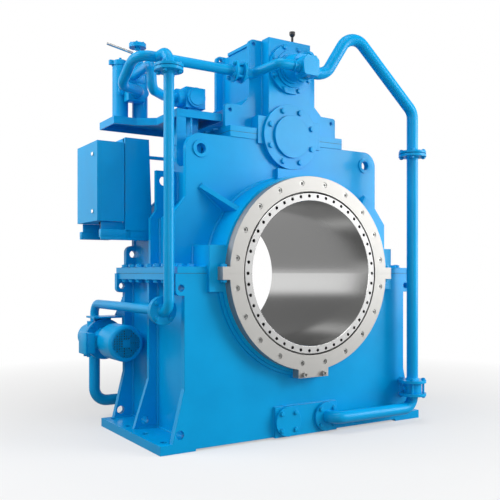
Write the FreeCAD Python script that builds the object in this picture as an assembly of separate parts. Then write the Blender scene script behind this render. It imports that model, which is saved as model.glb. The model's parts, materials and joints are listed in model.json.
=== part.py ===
import FreeCAD, Part
import os
from math import acos, cos, degrees, hypot, pi, radians, sin, tan

# Marine gearbox with a hollow shaft, two gear stages, an attached oil pump, a duplex filter,
# a standby pump set and a control cabinet. Millimetres and degrees.
# The origin is on the hollow shaft's axis, in the plane of the lower casing's front face.
# X is to the right seen from the front, Y runs along the shafts away from the front, Z is up.

V = FreeCAD.Vector
ORIGIN = V(0, 0, 0)
X_DIR = V(1, 0, 0)
Y_DIR = V(0, 1, 0)
Z_DIR = V(0, 0, 1)

# Gear train
stage1_module = 15.0
stage1_wheel_teeth = 92
stage1_pinion_teeth = 26
stage2_module = 10.0
stage2_wheel_teeth = 60
stage2_pinion_teeth = 28
pump_module = 5.0
pump_teeth = 12
pressure_angle = radians(20)
stage1_face = (405.0, 625.0)
stage2_face = (300.0, 380.0)
intermediate_z = stage1_module * (stage1_wheel_teeth + stage1_pinion_teeth) / 2
output_z = intermediate_z + stage2_module * (stage2_wheel_teeth + stage2_pinion_teeth) / 2
pump_idler_z = output_z - pump_module * pump_teeth

# Hollow shaft and its bearings
bore_r = 450.0
shaft_r = 500.0
journal_r = 520.0
seat_r = 530.0
shoulder_r = 555.0
shaft_front = -90.0
shaft_rear = 1045.0
coupling_pcd = 960.0
coupling_holes = 46
coupling_hole_r = 10.0
coupling_hole_depth = 45.0
bearing_outer_r = 545.0
housing_r = 615.0
front_bearing = (5.0, 145.0)
rear_bearing = (785.0, 915.0)
run_gap = 0.08

# Lower casing
base_half = 1000.0
base_bottom = -1020.0
base_thick = 54.0
rail_inner = 776.0
rail_relief = 12.0
casing_rear = 927.0
end_plate = 40.0
lower_half = 850.0
foot_half = 925.0
knee_z = -660.0
side_wall = 790.0
wall_thick = 25.0
rib_y = 490.0
rib_thick = 30.0
foundation_x = 940.0
foundation_y = (83.0, 341.0, 599.0, 857.0)
foundation_hole_r = 19.5
foot_hole = (878.0, -917.0)
foot_hole_r = 26.0

# Main joint at the height of the shaft axis
flange_half = 895.0
flange_thick = 38.0
flange_inner = 720.0
ear_out = 906.0
ear_drop = 90.0
joint_bolt_r = 15.0
joint_hole_r = 16.5
joint_bolt_af = 46.0

# Middle casing
middle_front = 180.0
middle_plate = 35.0
middle_half = 840.0
middle_neck = 750.0
slant_low = 345.0
slant_high = 460.0
shell_half = 775.0
shell_neck = 650.0
rear_roof_z = 640.0
rear_roof_half = 430.0
corner_r = 100.0
collar_front = -30.0
lift_hole = (650.0, 755.0)
lift_hole_r = 31.0

# Joint at the height of the intermediate shaft
upper_flange_half = 444.0
upper_flange_thick = 36.0
upper_flange_front = 175.0
upper_flange_rear = 737.0
upper_opening = 400.0
middle_top = intermediate_z - upper_flange_thick
upper_flange_top = intermediate_z + upper_flange_thick
pad_front = 165.0
pad_half = 245.0
pad_bottom = intermediate_z - 60.0
pad_top = intermediate_z + 118.0
small_bearing_r = 185.0
small_journal_r = 110.0
small_housing_r = 225.0
small_lip_r = 150.0
small_front = (195.0, 275.0)
small_rear = (655.0, 735.0)

# Top casing
tower_front = 165.0
tower_box_half = 165.0
tower_ear_front = 245.0
ear_plate = 30.0
tower_rear_plate = 672.0
tower_half = 205.0
tower_low_half = 385.0
tower_skin = 15.0
tower_top = 1512.0
lid_thick = 20.0
lid_half = 215.0
lid_span = (250.0, 600.0)
top_journal_r = 60.0
top_bearing_r = 105.0
top_housing_r = 150.0
top_front = (190.0, 250.0)
top_rear = (650.0, 710.0)
top_rear_face = 715.0

# Round covers
cover_r = 210.0
cover_thick = 18.0
cover_boss_r = 137.0
cover_boss = 17.0
cover_pcd = 350.0
top_cover_r = 160.0
top_cover_thick = 20.0
top_cover_pcd = 292.0
cover_bolts = 8
cover_bolt_r = 8.0
cover_bolt_af = 30.0

# Split cover ring round the hollow shaft
ring_outer_r = 602.0
ring_inner_r = 508.0
ring_front = -90.0
ring_lug_x = 650.0
ring_lug_z = 38.0
ring_foot_half = 115.0
ring_foot_z = -645.0
ring_pcd = 1120.0
ring_screws_count = 20
ring_screw_r = 10.0
ring_screw_head_r = 15.0
ring_screw_head = 20.0
ring_bore_r = 16.5
clamp_x = 628.0
clamp_r = 12.0
clamp_af = 36.0

# Attached pump
pump_front = -60.0
pump_split = -40.0
pump_rear = 20.0
pump_side = 50.0
pump_port_z = 1295.0
pump_port_y = -20.0
pump_port_x = 95.0
pump_shaft_r = 14.0

# Pipes, outside diameters and walls
large_od = 76.1
small_od = 60.3
pipe_wall = 4.0
large_flange = 185.0
small_flange = 165.0
large_pcd = 145.0
small_pcd = 125.0
flange_plate = 18.0
flange_bolts = 4
flange_bolt_r = 8.0
flange_hole_r = 9.0
gasket = 2.0
neck_length = 16.0
neck_flare = 9.0

suction_x = 827.0
suction_y = -110.0
suction_z = -914.0
suction_joint_z = 809.0
suction_valve_z = (-812.0, -742.0)
inlet_x = 150.0
inlet_pad = (240.0, -1010.0, -823.0)
inlet_pad_front = -20.0
manifold_y = 170.0
manifold_z = 1256.0
riser_x = -940.0
riser_y = 16.0
riser_joint_z = 1155.0
riser_foot_z = -214.0
riser_foot_y = 105.0
check_x = (-386.0, -336.0)

# Duplex filter and thermostat valve on the platform
platform_z = 1010.0
platform_skirt = 48.0
platform_skin = 8.0
bowl_r = 52.0
bowl_y = 830.0
bowl_x = (-905.0, -765.0)
bowl_top = 1372.0
bowl_wall = 5.0
head_x = (-890.0, -775.0)
head_y = (690.0, 768.0)
head_z = (1132.0, 1270.0)
changeover_x = -822.0
changeover_y = 735.0
lever_z = 1440.0
lever_tip = V(-1032, 735, 1476)
valve_x = (-635.0, -498.0)
valve_y = (400.0, 530.0)
valve_z = (1052.0, 1183.0)
valve_neck_x = -677.0

# Control cabinet
cabinet_x = (-1118.0, -964.0)
cabinet_y = (613.0, 990.0)
cabinet_z = (327.0, 827.0)
cabinet_skin = 3.0
door_thick = 24.0
door_gap = 0.5
hinge_r = 6.0
hinge_pin_r = 3.0
knuckle = 16.0
knuckle_gap = 0.3
hinge_inset = 60.0
lock_y = 688.0
lock_z = (390.0, 751.0)

# Standby pump set
motor_x = -940.0
motor_z = -449.0
cowl_front = 634.0
cowl_r = 109.0
motor_r = 96.0
motor_end_r = 84.0
motor_body = (700.0, 868.0)
motor_flange = (945.0, 960.0)
motor_flange_r = 125.0
bell_rear = 1062.0
standby_y = 1227.0
standby_r = 88.0
standby_rear = 1330.0
standby_port_z = (-560.0, -338.0)
rotor_r = 14.0
standby_suction_x = -650.0
standby_suction_z = -905.0


def box(x0, x1, y0, y1, z0, z1):
    """Block between two corners."""
    return Part.makeBox(x1 - x0, y1 - y0, z1 - z0, V(x0, y0, z0))


def cyl_x(y, z, r, x0, x1):
    """Cylinder along X."""
    return Part.makeCylinder(r, x1 - x0, V(x0, y, z), X_DIR)


def cyl_y(x, z, r, y0, y1):
    """Cylinder along Y."""
    return Part.makeCylinder(r, y1 - y0, V(x, y0, z), Y_DIR)


def cyl_z(x, y, r, z0, z1):
    """Cylinder along Z."""
    return Part.makeCylinder(r, z1 - z0, V(x, y, z0), Z_DIR)


def ring_y(x, z, r_out, r_in, y0, y1):
    """Plain ring along Y."""
    return cyl_y(x, z, r_out, y0, y1).cut(cyl_y(x, z, r_in, y0, y1))


def join(*shapes):
    """One solid from overlapping or touching shapes, without the seams between them."""
    first = shapes[0]
    rest = list(shapes[1:])
    if rest:
        first = first.multiFuse(rest)
    return first.removeSplitter()


def drill(shape, *tools):
    """The shape less every tool."""
    return shape.cut(Part.makeCompound(list(tools)))


def group(shapes):
    """Separate solids kept in one node."""
    return Part.makeCompound(shapes)


def mirrored(shape):
    """Copy on the other side of the plane X = 0."""
    return shape.mirror(ORIGIN, X_DIR)


def both_sides(shape):
    """The shape and its mirror image."""
    return [shape, mirrored(shape)]


def turned(shape, angle, x, z):
    """Copy turned about an axis along Y through (x, z)."""
    copy = shape.copy()
    copy.rotate(V(x, 0, z), Y_DIR, angle)
    return copy


def circle_places(count, pcd, x, z, offset=0.0):
    """Points (x, z) evenly spaced on a circle in an XZ plane."""
    places = []
    for i in range(count):
        a = radians(offset + 360.0 * i / count)
        places.append((x + pcd / 2 * cos(a), z + pcd / 2 * sin(a)))
    return places


def corner_arc(before, corner, after, radius):
    """Start, middle and end of the arc that rounds one corner."""
    a = (before - corner).normalize()
    b = (after - corner).normalize()
    half = a.getAngle(b) / 2
    reach = radius / tan(half)
    centre = corner + (a + b).normalize() * (radius / sin(half))
    middle = centre + (corner - centre).normalize() * radius
    return corner + a * reach, middle, corner + b * reach


def outline_face(points, radii=None):
    """Flat face from corner points, each rounded by its own radius where one is given."""
    count = len(points)
    radii = radii or {}
    edges = []
    ends = []
    for i, corner in enumerate(points):
        r = radii.get(i, 0.0)
        if r:
            ends.append(corner_arc(points[i - 1], corner, points[(i + 1) % count], r))
        else:
            ends.append((corner, None, corner))
    for i, (_, _, leave) in enumerate(ends):
        arrive, middle, away = ends[(i + 1) % count]
        if (arrive - leave).Length > 1e-6:
            edges.append(Part.LineSegment(leave, arrive).toShape())
        if middle:
            edges.append(Part.Arc(arrive, middle, away).toShape())
    return Part.Face(Part.Wire(edges))


def plate_y(outline, y0, y1, radii=None):
    """Plate from an XZ outline, between two Y planes."""
    face = outline_face([V(x, y0, z) for x, z in outline], radii)
    return face.extrude(V(0, y1 - y0, 0))


def plate_z(outline, z0, z1, radii=None):
    """Plate from an XY outline, between two Z planes."""
    face = outline_face([V(x, y, z0) for x, y in outline], radii)
    return face.extrude(V(0, 0, z1 - z0))


def plate_x(outline, x0, x1, radii=None):
    """Plate from a YZ outline, between two X planes."""
    face = outline_face([V(x0, y, z) for y, z in outline], radii)
    return face.extrude(V(x1 - x0, 0, 0))


def symmetric(right_side):
    """Full outline from the points of its right half, given from bottom to top."""
    left_side = [(-x, z) for x, z in reversed(right_side)]
    return right_side + left_side


def turned_body(profile, z=0.0, x=0.0):
    """Body of revolution about an axis along Y, from (radius, y) points."""
    face = Part.Face(Part.makePolygon([V(x + r, y, z) for r, y in profile + profile[:1]]))
    return face.revolve(V(x, 0, z), Y_DIR, 360)


def placed(shape, origin, direction, roll=0.0):
    """Shape built along +Z at the origin, turned to a direction and moved to a point."""
    copy = shape.copy()
    copy.rotate(ORIGIN, Z_DIR, roll)
    turn = FreeCAD.Rotation(Z_DIR, direction)
    copy.Placement = FreeCAD.Placement(origin, turn).multiply(copy.Placement)
    return copy


def hexagon(af, height, z0=0.0):
    """Hexagonal prism of a given width across flats."""
    r = af / 2 / cos(radians(30))
    points = [V(r * cos(radians(60 * i)), r * sin(radians(60 * i)), z0) for i in range(7)]
    return Part.Face(Part.makePolygon(points)).extrude(V(0, 0, height))


def hex_screw(origin, direction, shank_r, shank, af, head):
    """Hexagon head screw: its head stands on the point, its shank goes back from it."""
    body = hexagon(af, head).fuse(Part.makeCylinder(shank_r, shank, V(0, 0, -shank), Z_DIR))
    return placed(body, origin, direction, 15.0)


def stud_with_nuts(start, direction, grip, shank_r, af, nut):
    """Bolt through a grip length, with a nut or head on each end and two threads showing."""
    shank = Part.makeCylinder(shank_r, grip + 2.4 * nut, V(0, 0, -1.2 * nut), Z_DIR)
    body = shank.multiFuse([hexagon(af, nut, -nut), hexagon(af, nut, grip)])
    return placed(body, start, direction, 15.0)


def half_angle(radius, pitch_r, teeth, play):
    """Half the angle that a tooth spans at a radius, for involute flanks."""
    base_r = pitch_r * cos(pressure_angle)
    at_pitch = pi / 2 / teeth - play / pitch_r
    a = acos(min(1.0, base_r / max(radius, base_r)))
    return at_pitch + tan(pressure_angle) - pressure_angle - tan(a) + a


def gear(module, teeth, face, z, phase, height=1.0, clearance=0.25, play=0.02):
    """Spur gear blank with involute teeth about an axis along Y at height z."""
    pitch_r = module * teeth / 2
    tip_r = pitch_r + height * module
    root_r = pitch_r - (height + clearance) * module
    radii = (root_r, pitch_r, tip_r)
    points = []
    for i in range(teeth):
        middle = radians(phase + 360.0 * i / teeth)
        flank = [(r, half_angle(r, pitch_r, teeth, play * module)) for r in radii]
        for r, a in flank:
            points.append(V(r * cos(middle - a), face[0], z + r * sin(middle - a)))
        for r, a in reversed(flank):
            points.append(V(r * cos(middle + a), face[0], z + r * sin(middle + a)))
    outline = Part.makePolygon(points + points[:1])
    return Part.Face(outline).extrude(V(0, face[1] - face[0], 0))


def rod(points, radii, r):
    """Round bar along straight runs joined by tangent arcs."""
    edges = []
    last = points[0]
    for i in range(1, len(points) - 1):
        arrive, middle, leave = corner_arc(points[i - 1], points[i], points[i + 1], radii[i - 1])
        edges.append(Part.LineSegment(last, arrive).toShape())
        edges.append(Part.Arc(arrive, middle, leave).toShape())
        last = leave
    edges.append(Part.LineSegment(last, points[-1]).toShape())
    disc = Part.Face(Part.Wire(Part.makeCircle(r, points[0], points[1] - points[0])))
    return Part.Wire(edges).makePipe(disc)


def pipe(points, radii, od, extra=()):
    """Hollow pipe along straight runs and bends, with flanges or branches fused to it."""
    body = join(rod(points, radii, od / 2), *extra)
    return body.cut(rod(points, radii, od / 2 - pipe_wall))


def pipe_flange(face_point, direction, od, pcd, neck_r=0.0):
    """Flange whose sealing face is at a point and looks along a direction, with or without a weld neck."""
    body = Part.makeCylinder(od / 2, flange_plate, V(0, 0, -flange_plate), Z_DIR)
    if neck_r:
        foot = V(0, 0, -flange_plate - neck_length)
        body = body.fuse(Part.makeCone(neck_r, neck_r + neck_flare, neck_length, foot, Z_DIR))
    for i in range(flange_bolts):
        a = radians(45 + 90 * i)
        spot = V(pcd / 2 * cos(a), pcd / 2 * sin(a), -flange_plate)
        body = body.cut(Part.makeCylinder(flange_hole_r, flange_plate, spot, Z_DIR))
    return placed(body, face_point, direction)


def flange_studs(start, direction, grip, pcd):
    """The bolts of one flange joint, through a grip length."""
    studs = []
    turn = FreeCAD.Rotation(Z_DIR, direction)
    for i in range(flange_bolts):
        a = radians(45 + 90 * i)
        spot = start + turn.multVec(V(pcd / 2 * cos(a), pcd / 2 * sin(a), 0))
        studs.append(stud_with_nuts(spot, direction, grip, flange_bolt_r, 24.0, 13.0))
    return studs


def upper_half(shape):
    """The part of a shape above the main joint."""
    return shape.common(box(-1500, 1500, -500, 1500, 0, 1500))


def lower_half_of(shape):
    """The part of a shape below the main joint."""
    return shape.common(box(-1500, 1500, -500, 1500, -1500, 0))


def above(shape, z):
    """The part of a shape above a height."""
    return shape.common(box(-1500, 1500, -500, 1500, z, z + 3000))


def below(shape, z):
    """The part of a shape below a height."""
    return shape.common(box(-1500, 1500, -500, 1500, z - 3000, z))


def joint_bolt_places():
    """Places (x, y) of the bolts along the sides of the main joint."""
    places = []
    edge = (flange_half + lower_half) / 2 - 2
    for side in (-1, 1):
        for i in range(4):
            places.append((side * edge, end_plate + 56 + 113 * i))
        for i in range(3):
            places.append((side * edge, rib_y + rib_thick + 72 + 113 * i))
    return places


def joint_screw_places():
    """Places (x, y) of the screws in the front ledge of the main joint."""
    return [(side * (flange_inner + 35 + 80 * i), 95) for side in (-1, 1) for i in range(2)]


def upper_bolt_places():
    """Places (x, y) of the screws of the joint under the top casing."""
    places = []
    for side in (-1, 1):
        for i in range(4):
            places.append((side * (upper_flange_half - 29), 306 + 110 * i))
    return places


def lower_outline():
    """Front outline of the lower casing's end plates."""
    base_top = base_bottom + base_thick
    return symmetric([(foot_half, base_top), (lower_half, knee_z), (lower_half, 0)])


def outer_ribs(outline, wall_outline):
    """Outer ribs of both sides, from the wall out to an outline, halfway along the casing."""
    y1 = rib_y + rib_thick
    return plate_y(symmetric(outline), rib_y, y1).cut(plate_y(symmetric(wall_outline), rib_y, y1))


def main_ear(y0):
    """Lashing ears under the main joint, on one end plate."""
    low = -flange_thick - ear_drop
    outline = [(lower_half - 60, low), (ear_out, low), (ear_out, 0), (lower_half - 60, 0)]
    ear = plate_y(outline, y0, y0 + end_plate, {1: 30.0})
    return both_sides(ear)


def front_housing(outer_r):
    """Ring-shaped housing of the front main bearing, round the whole circle."""
    return cyl_y(0, 0, outer_r, collar_front, middle_front + middle_plate)


def lower_casing():
    """Lower casing: base, end plates, side walls, ribs, main flange and lower bearing seats."""
    base_top = base_bottom + base_thick
    rear_in = casing_rear - end_plate
    base = box(-base_half, base_half, 0, casing_rear, base_bottom, base_top)
    relief = box(-rail_inner, rail_inner, 0, casing_rear, base_bottom, base_bottom + rail_relief)
    base = base.cut(relief)
    wall = box(side_wall - wall_thick, side_wall, 0, casing_rear, base_top, 0)
    rib_foot = foot_half + 25
    rib = outer_ribs([(rib_foot, base_top), (lower_half, knee_z), (lower_half, 0)],
                     [(side_wall, base_top), (side_wall, 0)])
    flange = box(-flange_half, flange_half, 0, casing_rear, -flange_thick, 0)
    flange = flange.cut(box(-flange_inner, flange_inner, end_plate, rear_in, -flange_thick, 0))
    solids = [base, flange]
    solids += [plate_y(lower_outline(), 0, end_plate)]
    solids += [plate_y(lower_outline(), rear_in, casing_rear)]
    solids += both_sides(wall) + rib.Solids
    solids += main_ear(0) + main_ear(rear_in)
    solids += [lower_half_of(cyl_y(0, 0, housing_r, 0, middle_front + middle_plate))]
    solids += [lower_half_of(cyl_y(0, 0, housing_r + 27, collar_front / 2, 0))]
    solids += [lower_half_of(cyl_y(0, 0, housing_r + 8, collar_front, 0))]
    solids += [lower_half_of(cyl_y(0, 0, housing_r, rear_bearing[0] - 5, casing_rear + 8))]
    solids += [box(-ring_foot_half, ring_foot_half, collar_front, 0, ring_foot_z - 6, -ring_outer_r + 30)]
    solids += both_sides(box(ring_outer_r - 40, 705, collar_front, 0, -109, 0))
    solids += [box(-inlet_pad[0], inlet_pad[0], inlet_pad_front, 0, inlet_pad[1], inlet_pad[2])]
    body = join(*solids)
    cuts = [cyl_y(0, 0, bearing_outer_r, collar_front, casing_rear + 8)]
    for side in (-1, 1):
        for y in foundation_y:
            cuts.append(cyl_z(side * foundation_x, y, foundation_hole_r, base_bottom, base_top))
        cuts.append(cyl_y(side * foot_hole[0], foot_hole[1], foot_hole_r, 0, casing_rear))
        cuts.append(cyl_y(side * 870, -84, 20, 0, casing_rear))
    for x, y in joint_bolt_places() + joint_screw_places():
        cuts.append(cyl_z(x, y, joint_hole_r, -flange_thick, 0))
    cuts.append(cyl_y(inlet_x, suction_z, large_od / 2 - pipe_wall, inlet_pad_front, end_plate))
    cuts.append(cyl_y(-inlet_x, suction_z, large_od / 2 - pipe_wall, inlet_pad_front, end_plate))
    return drill(body, *cuts)


def shell_outline(inset=0.0):
    """Right half outline of the middle casing's shell up to its roof."""
    return [(shell_half - inset, 0), (shell_half - inset, slant_low), (shell_neck - inset, slant_high),
            (shell_neck - inset, middle_top - inset)]


def rear_outline(inset=0.0):
    """Right half outline of the low rear part of the middle casing."""
    return [(shell_half - inset, 0), (shell_half - inset, slant_low), (shell_neck - inset, slant_high),
            (rear_roof_half - inset, rear_roof_z - inset)]


def middle_shell():
    """Side walls and roof of the middle casing, open below and under the top casing."""
    front = middle_front + middle_plate
    step = small_rear[0]
    rear = casing_rear - end_plate
    t = wall_thick
    high = plate_y(symmetric(shell_outline()), front, step + rib_thick)
    high = high.cut(plate_y(symmetric(shell_outline(t)), front, step))
    low = plate_y(symmetric(rear_outline()), step, rear)
    hollow = plate_y(symmetric(rear_outline(t)), step, rear)
    hole = box(-upper_opening, upper_opening, front, step - 15, middle_top - t, middle_top)
    return high.fuse(low).cut(hollow).cut(hole)


def gusset(angle):
    """Triangular rib from the collar out along the middle front plate."""
    foot = 843.0
    tip = 20.0
    points = [V(housing_r - 10, middle_front, -15), V(foot, middle_front, -15)]
    points += [V(foot, middle_front - 12, -15), V(housing_r - 10, tip, -15)]
    face = Part.Face(Part.makePolygon(points + points[:1]))
    return turned(face.extrude(V(0, 0, 30)), -angle, 0, 0)


def small_housing(y0, y1):
    """Bearing housing of the intermediate shaft, round the whole circle."""
    return cyl_y(0, intermediate_z, small_housing_r, y0, y1)


def small_bores():
    """Bores for the intermediate shaft's bearings, with a lip on the inner side."""
    z = intermediate_z
    front = [cyl_y(0, z, small_bearing_r, pad_front - 5, small_front[1])]
    front += [cyl_y(0, z, small_lip_r, small_front[0], small_front[1] + 15)]
    rear = [cyl_y(0, z, small_bearing_r, small_rear[0], upper_flange_rear + 5)]
    rear += [cyl_y(0, z, small_lip_r, small_rear[0] - 15, small_rear[0])]
    return front + rear


def middle_casing():
    """Middle casing: main flange, front and rear plates, shell, collar and bearing seats."""
    front = middle_front + middle_plate
    rear = casing_rear - end_plate
    z_top = middle_top
    front_side = [(middle_half, 0), (middle_half, slant_low), (middle_neck, slant_high), (middle_neck, z_top)]
    rear_side = [(middle_half, 0), (middle_half, 186), (shell_half + 8, 186)] + rear_outline(-8)[1:]
    flange = box(-flange_half, flange_half, 0, casing_rear, 0, flange_thick)
    flange = flange.cut(box(-flange_inner, flange_inner, front, rear, 0, flange_thick))
    rib = outer_ribs([(middle_half, 0), (middle_half, slant_low), (800, slant_low + 52), (800, 650)],
                     shell_outline()[:3] + [(shell_neck, 650)])
    solids = [flange, middle_shell()]
    solids += [plate_y(symmetric(front_side), middle_front, front, {3: corner_r, 4: corner_r})]
    solids += [plate_y(symmetric(rear_side), rear, casing_rear, {1: 45.0, 10: 45.0})]
    solids += rib.Solids
    solids += [upper_half(front_housing(housing_r))]
    solids += [upper_half(cyl_y(0, 0, housing_r, rear_bearing[0] - 5, casing_rear + 8))]
    solids += [gusset(39), gusset(141)]
    solids += [box(-105, 105, 150, front, housing_r - 15, intermediate_z - cover_r)]
    solids += both_sides(box(ring_outer_r - 2, 705, collar_front, front, 0, 165))
    for side in (-1, 1):
        solids.append(cyl_y(side * lift_hole[0], lift_hole[1], 53, middle_front - 8, front))
    solids += upper_joint_lower_side()
    body = join(*solids)
    cuts = [cyl_y(0, 0, bearing_outer_r, collar_front, casing_rear + 8)]
    cuts += small_bores()
    for side in (-1, 1):
        cuts.append(cyl_y(side * lift_hole[0], lift_hole[1], lift_hole_r, middle_front - 8, front))
        cuts.append(cyl_y(side * 791, 129, 24, rear, casing_rear))
        cuts.append(cyl_y(side * 748, 585, 30, rib_y, rib_y + rib_thick))
    for x, y in joint_bolt_places() + joint_screw_places():
        cuts.append(cyl_z(x, y, joint_hole_r, 0, flange_thick))
    for x, y in upper_bolt_places():
        cuts.append(cyl_z(x, y, joint_hole_r, middle_top, intermediate_z))
    return drill(body, *cuts)


def upper_joint_lower_side():
    """Flange, pads, bulkhead and bearing seats below the intermediate shaft's axis."""
    opening = box(-upper_opening, upper_opening, 290, 640, middle_top, intermediate_z)
    flange = box(-upper_flange_half, upper_flange_half, upper_flange_front, upper_flange_rear,
                 middle_top, intermediate_z).cut(opening)
    pad = box(-pad_half, pad_half, pad_front, middle_front + 5, pad_bottom, intermediate_z)
    front = small_housing(middle_front, small_front[1] + 15)
    front = front.fuse(cyl_y(0, intermediate_z, cover_r, pad_front, middle_front + 5))
    rear = small_housing(small_rear[0] - 15, upper_flange_rear)
    return [flange, pad, below(front, intermediate_z), below(rear, intermediate_z)]


def ear_plate_outline():
    """Outline of the top casing's front and rear plates."""
    return symmetric([(441, upper_flange_top), (441, 1070), (320, 1073), (262, 1130), (262, 1506)])


def tower_shell():
    """Side walls of the top casing, wide at the wheel and narrow above it."""
    front = tower_ear_front + ear_plate
    low = intermediate_z
    wide = tower_low_half
    outer = [(wide, low), (wide, 1058), (300, 1066), (tower_half, 1150), (tower_half, tower_top - lid_thick)]
    t = tower_skin
    inner = [(wide - t, low), (wide - t, 1058 - t), (300 - t, 1066 - t), (tower_half - t, 1150 - t / 2)]
    inner.append((tower_half - t, tower_top - lid_thick - t))
    shell = plate_y(symmetric(outer), front, tower_rear_plate)
    shell = shell.cut(plate_y(symmetric(inner), front, tower_rear_plate))
    window = box(-120, 120, lid_span[0] + 60, lid_span[1] - 40, tower_top - 60, tower_top)
    return shell.cut(window)


def top_casing():
    """Top casing: flange, ear plates, shell, bearing box and upper bearing seats."""
    z_mid = intermediate_z
    flange = box(-upper_flange_half, upper_flange_half, upper_flange_front, upper_flange_rear,
                 z_mid, upper_flange_top)
    flange = flange.cut(box(tower_skin - tower_low_half, tower_low_half - tower_skin, 290, 640,
                           z_mid, upper_flange_top))
    outline = ear_plate_outline()
    rounded = {1: 20.0, 4: 30.0, 5: 30.0, 8: 20.0}
    pad = box(-pad_half, pad_half, pad_front, tower_ear_front, z_mid, pad_top)
    front = small_housing(tower_ear_front, small_front[1] + 15)
    front = front.fuse(cyl_y(0, z_mid, cover_r, pad_front, tower_ear_front))
    rear = small_housing(small_rear[0] - 15, upper_flange_rear)
    solids = [flange, tower_shell(), pad, above(front, z_mid), above(rear, z_mid)]
    solids += [box(-tower_box_half, tower_box_half, tower_front, tower_ear_front, pad_top - 5, tower_top)]
    solids += [plate_y(outline, tower_ear_front, tower_ear_front + ear_plate, rounded)]
    solids += [plate_y(outline, tower_rear_plate, tower_rear_plate + ear_plate, rounded)]
    solids += [cyl_y(0, output_z, top_housing_r, tower_ear_front, top_front[1] + 15)]
    solids += [cyl_y(0, output_z, top_housing_r, top_rear[0] - 15, top_rear_face)]
    body = join(*solids)
    cuts = small_bores()
    cuts += [cyl_y(0, output_z, top_bearing_r, tower_front, top_front[1])]
    cuts += [cyl_y(0, output_z, top_bearing_r - 20, top_front[1], tower_ear_front + ear_plate)]
    cuts += [cyl_y(0, output_z, top_bearing_r, top_rear[0], top_rear_face)]
    cuts += [cyl_y(0, output_z, top_bearing_r - 20, top_rear[0] - 15, top_rear[0])]
    for side in (-1, 1):
        for y0 in (tower_ear_front, tower_rear_plate):
            cuts.append(cyl_y(side * 229, 1478, 12.5, y0, y0 + ear_plate))
            cuts.append(cyl_y(side * 405, 1034, 12.5, y0, y0 + ear_plate))
    for x, y in upper_bolt_places():
        cuts.append(cyl_z(x, y, joint_hole_r, z_mid, upper_flange_top))
    return drill(body, *cuts)


def tower_cover():
    """Inspection lid on the top casing, with its breather hole."""
    lid = box(-lid_half, lid_half, tower_ear_front + ear_plate, lid_span[1], tower_top - lid_thick, tower_top)
    return lid


def breather():
    """Breather: stem and cap on the bearing box."""
    stem = cyl_z(48, 205, 8, tower_top, tower_top + 62)
    neck = cyl_z(48, 205, 13, tower_top, tower_top + 8)
    cap = cyl_z(48, 205, 19, tower_top + 60, tower_top + 80)
    skirt = Part.makeCone(11, 19, 12, V(48, 205, tower_top + 48), Z_DIR)
    return join(stem, neck, skirt, cap)


def cover_ring(sign):
    """One half of the split cover ring round the hollow shaft."""
    ring = ring_y(0, 0, ring_outer_r, ring_inner_r, ring_front, collar_front)
    lug = box(ring_outer_r - 12, ring_lug_x, ring_front, collar_front, -ring_lug_z, ring_lug_z)
    solids = [ring] + both_sides(lug)
    if sign < 0:
        solids.append(box(-ring_foot_half, ring_foot_half, ring_front, collar_front, ring_foot_z, -ring_inner_r - 60))
    body = join(*solids)
    body = upper_half(body) if sign > 0 else lower_half_of(body)
    cuts = []
    for x, z in circle_places(ring_screws_count, ring_pcd, 0, 0, 9.0):
        if z * sign > 0:
            cuts.append(cyl_y(x, z, ring_bore_r, ring_front, ring_front + ring_screw_head + 4))
            cuts.append(cyl_y(x, z, ring_screw_r + 1, ring_front, collar_front))
    for side in (-1, 1):
        middle = (ring_front + collar_front) / 2
        cuts.append(cyl_z(side * clamp_x, middle, clamp_r + 1, -ring_lug_z, ring_lug_z))
    if sign < 0:
        for x in (-75, 75):
            cuts.append(cyl_y(x, ring_foot_z + 20, ring_screw_r + 1, ring_front, collar_front))
    return drill(body, *cuts)


def rear_cover_halves():
    """Split cover ring at the rear bearing."""
    front = casing_rear + 8
    ring = ring_y(0, 0, ring_outer_r, ring_inner_r, front, front + 36)
    return group([upper_half(ring), lower_half_of(ring)])


def socket_screw(x, z, front, shank_end):
    """Socket head screw along Y, its head towards the front."""
    head = cyl_y(x, z, ring_screw_head_r, front, front + ring_screw_head)
    socket = hexagon(17.0, 10.0)
    socket = placed(socket, V(x, front, z), Y_DIR)
    return head.fuse(cyl_y(x, z, ring_screw_r, front + ring_screw_head, shank_end)).cut(socket)


def ring_screws():
    """Socket head screws of the cover ring and of its foot."""
    front = ring_front + 4
    screws = []
    for x, z in circle_places(ring_screws_count, ring_pcd, 0, 0, 9.0):
        screws.append(socket_screw(x, z, front, collar_front))
    for x in (-75, 75):
        screws.append(socket_screw(x, ring_foot_z + 20, ring_front - ring_screw_head, collar_front))
    return group(screws)


def joint_bolts():
    """Bolts of the two casing joints and of the cover ring's lugs."""
    bolts = []
    for x, y in joint_bolt_places():
        start = V(x, y, -flange_thick)
        bolts.append(stud_with_nuts(start, Z_DIR, 2 * flange_thick, joint_bolt_r, joint_bolt_af, 19.0))
    for x, y in joint_screw_places():
        top = V(x, y, flange_thick)
        bolts.append(hex_screw(top, Z_DIR, joint_bolt_r, 2 * flange_thick - 2, joint_bolt_af, 19.0))
    for x, y in upper_bolt_places():
        top = V(x, y, upper_flange_top)
        bolts.append(hex_screw(top, Z_DIR, joint_bolt_r, 2 * upper_flange_thick - 2, joint_bolt_af, 19.0))
    for side in (-1, 1):
        start = V(side * clamp_x, (ring_front + collar_front) / 2, -ring_lug_z)
        bolts.append(stud_with_nuts(start, Z_DIR, 2 * ring_lug_z, clamp_r, clamp_af, 15.0))
    return group(bolts)


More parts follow.
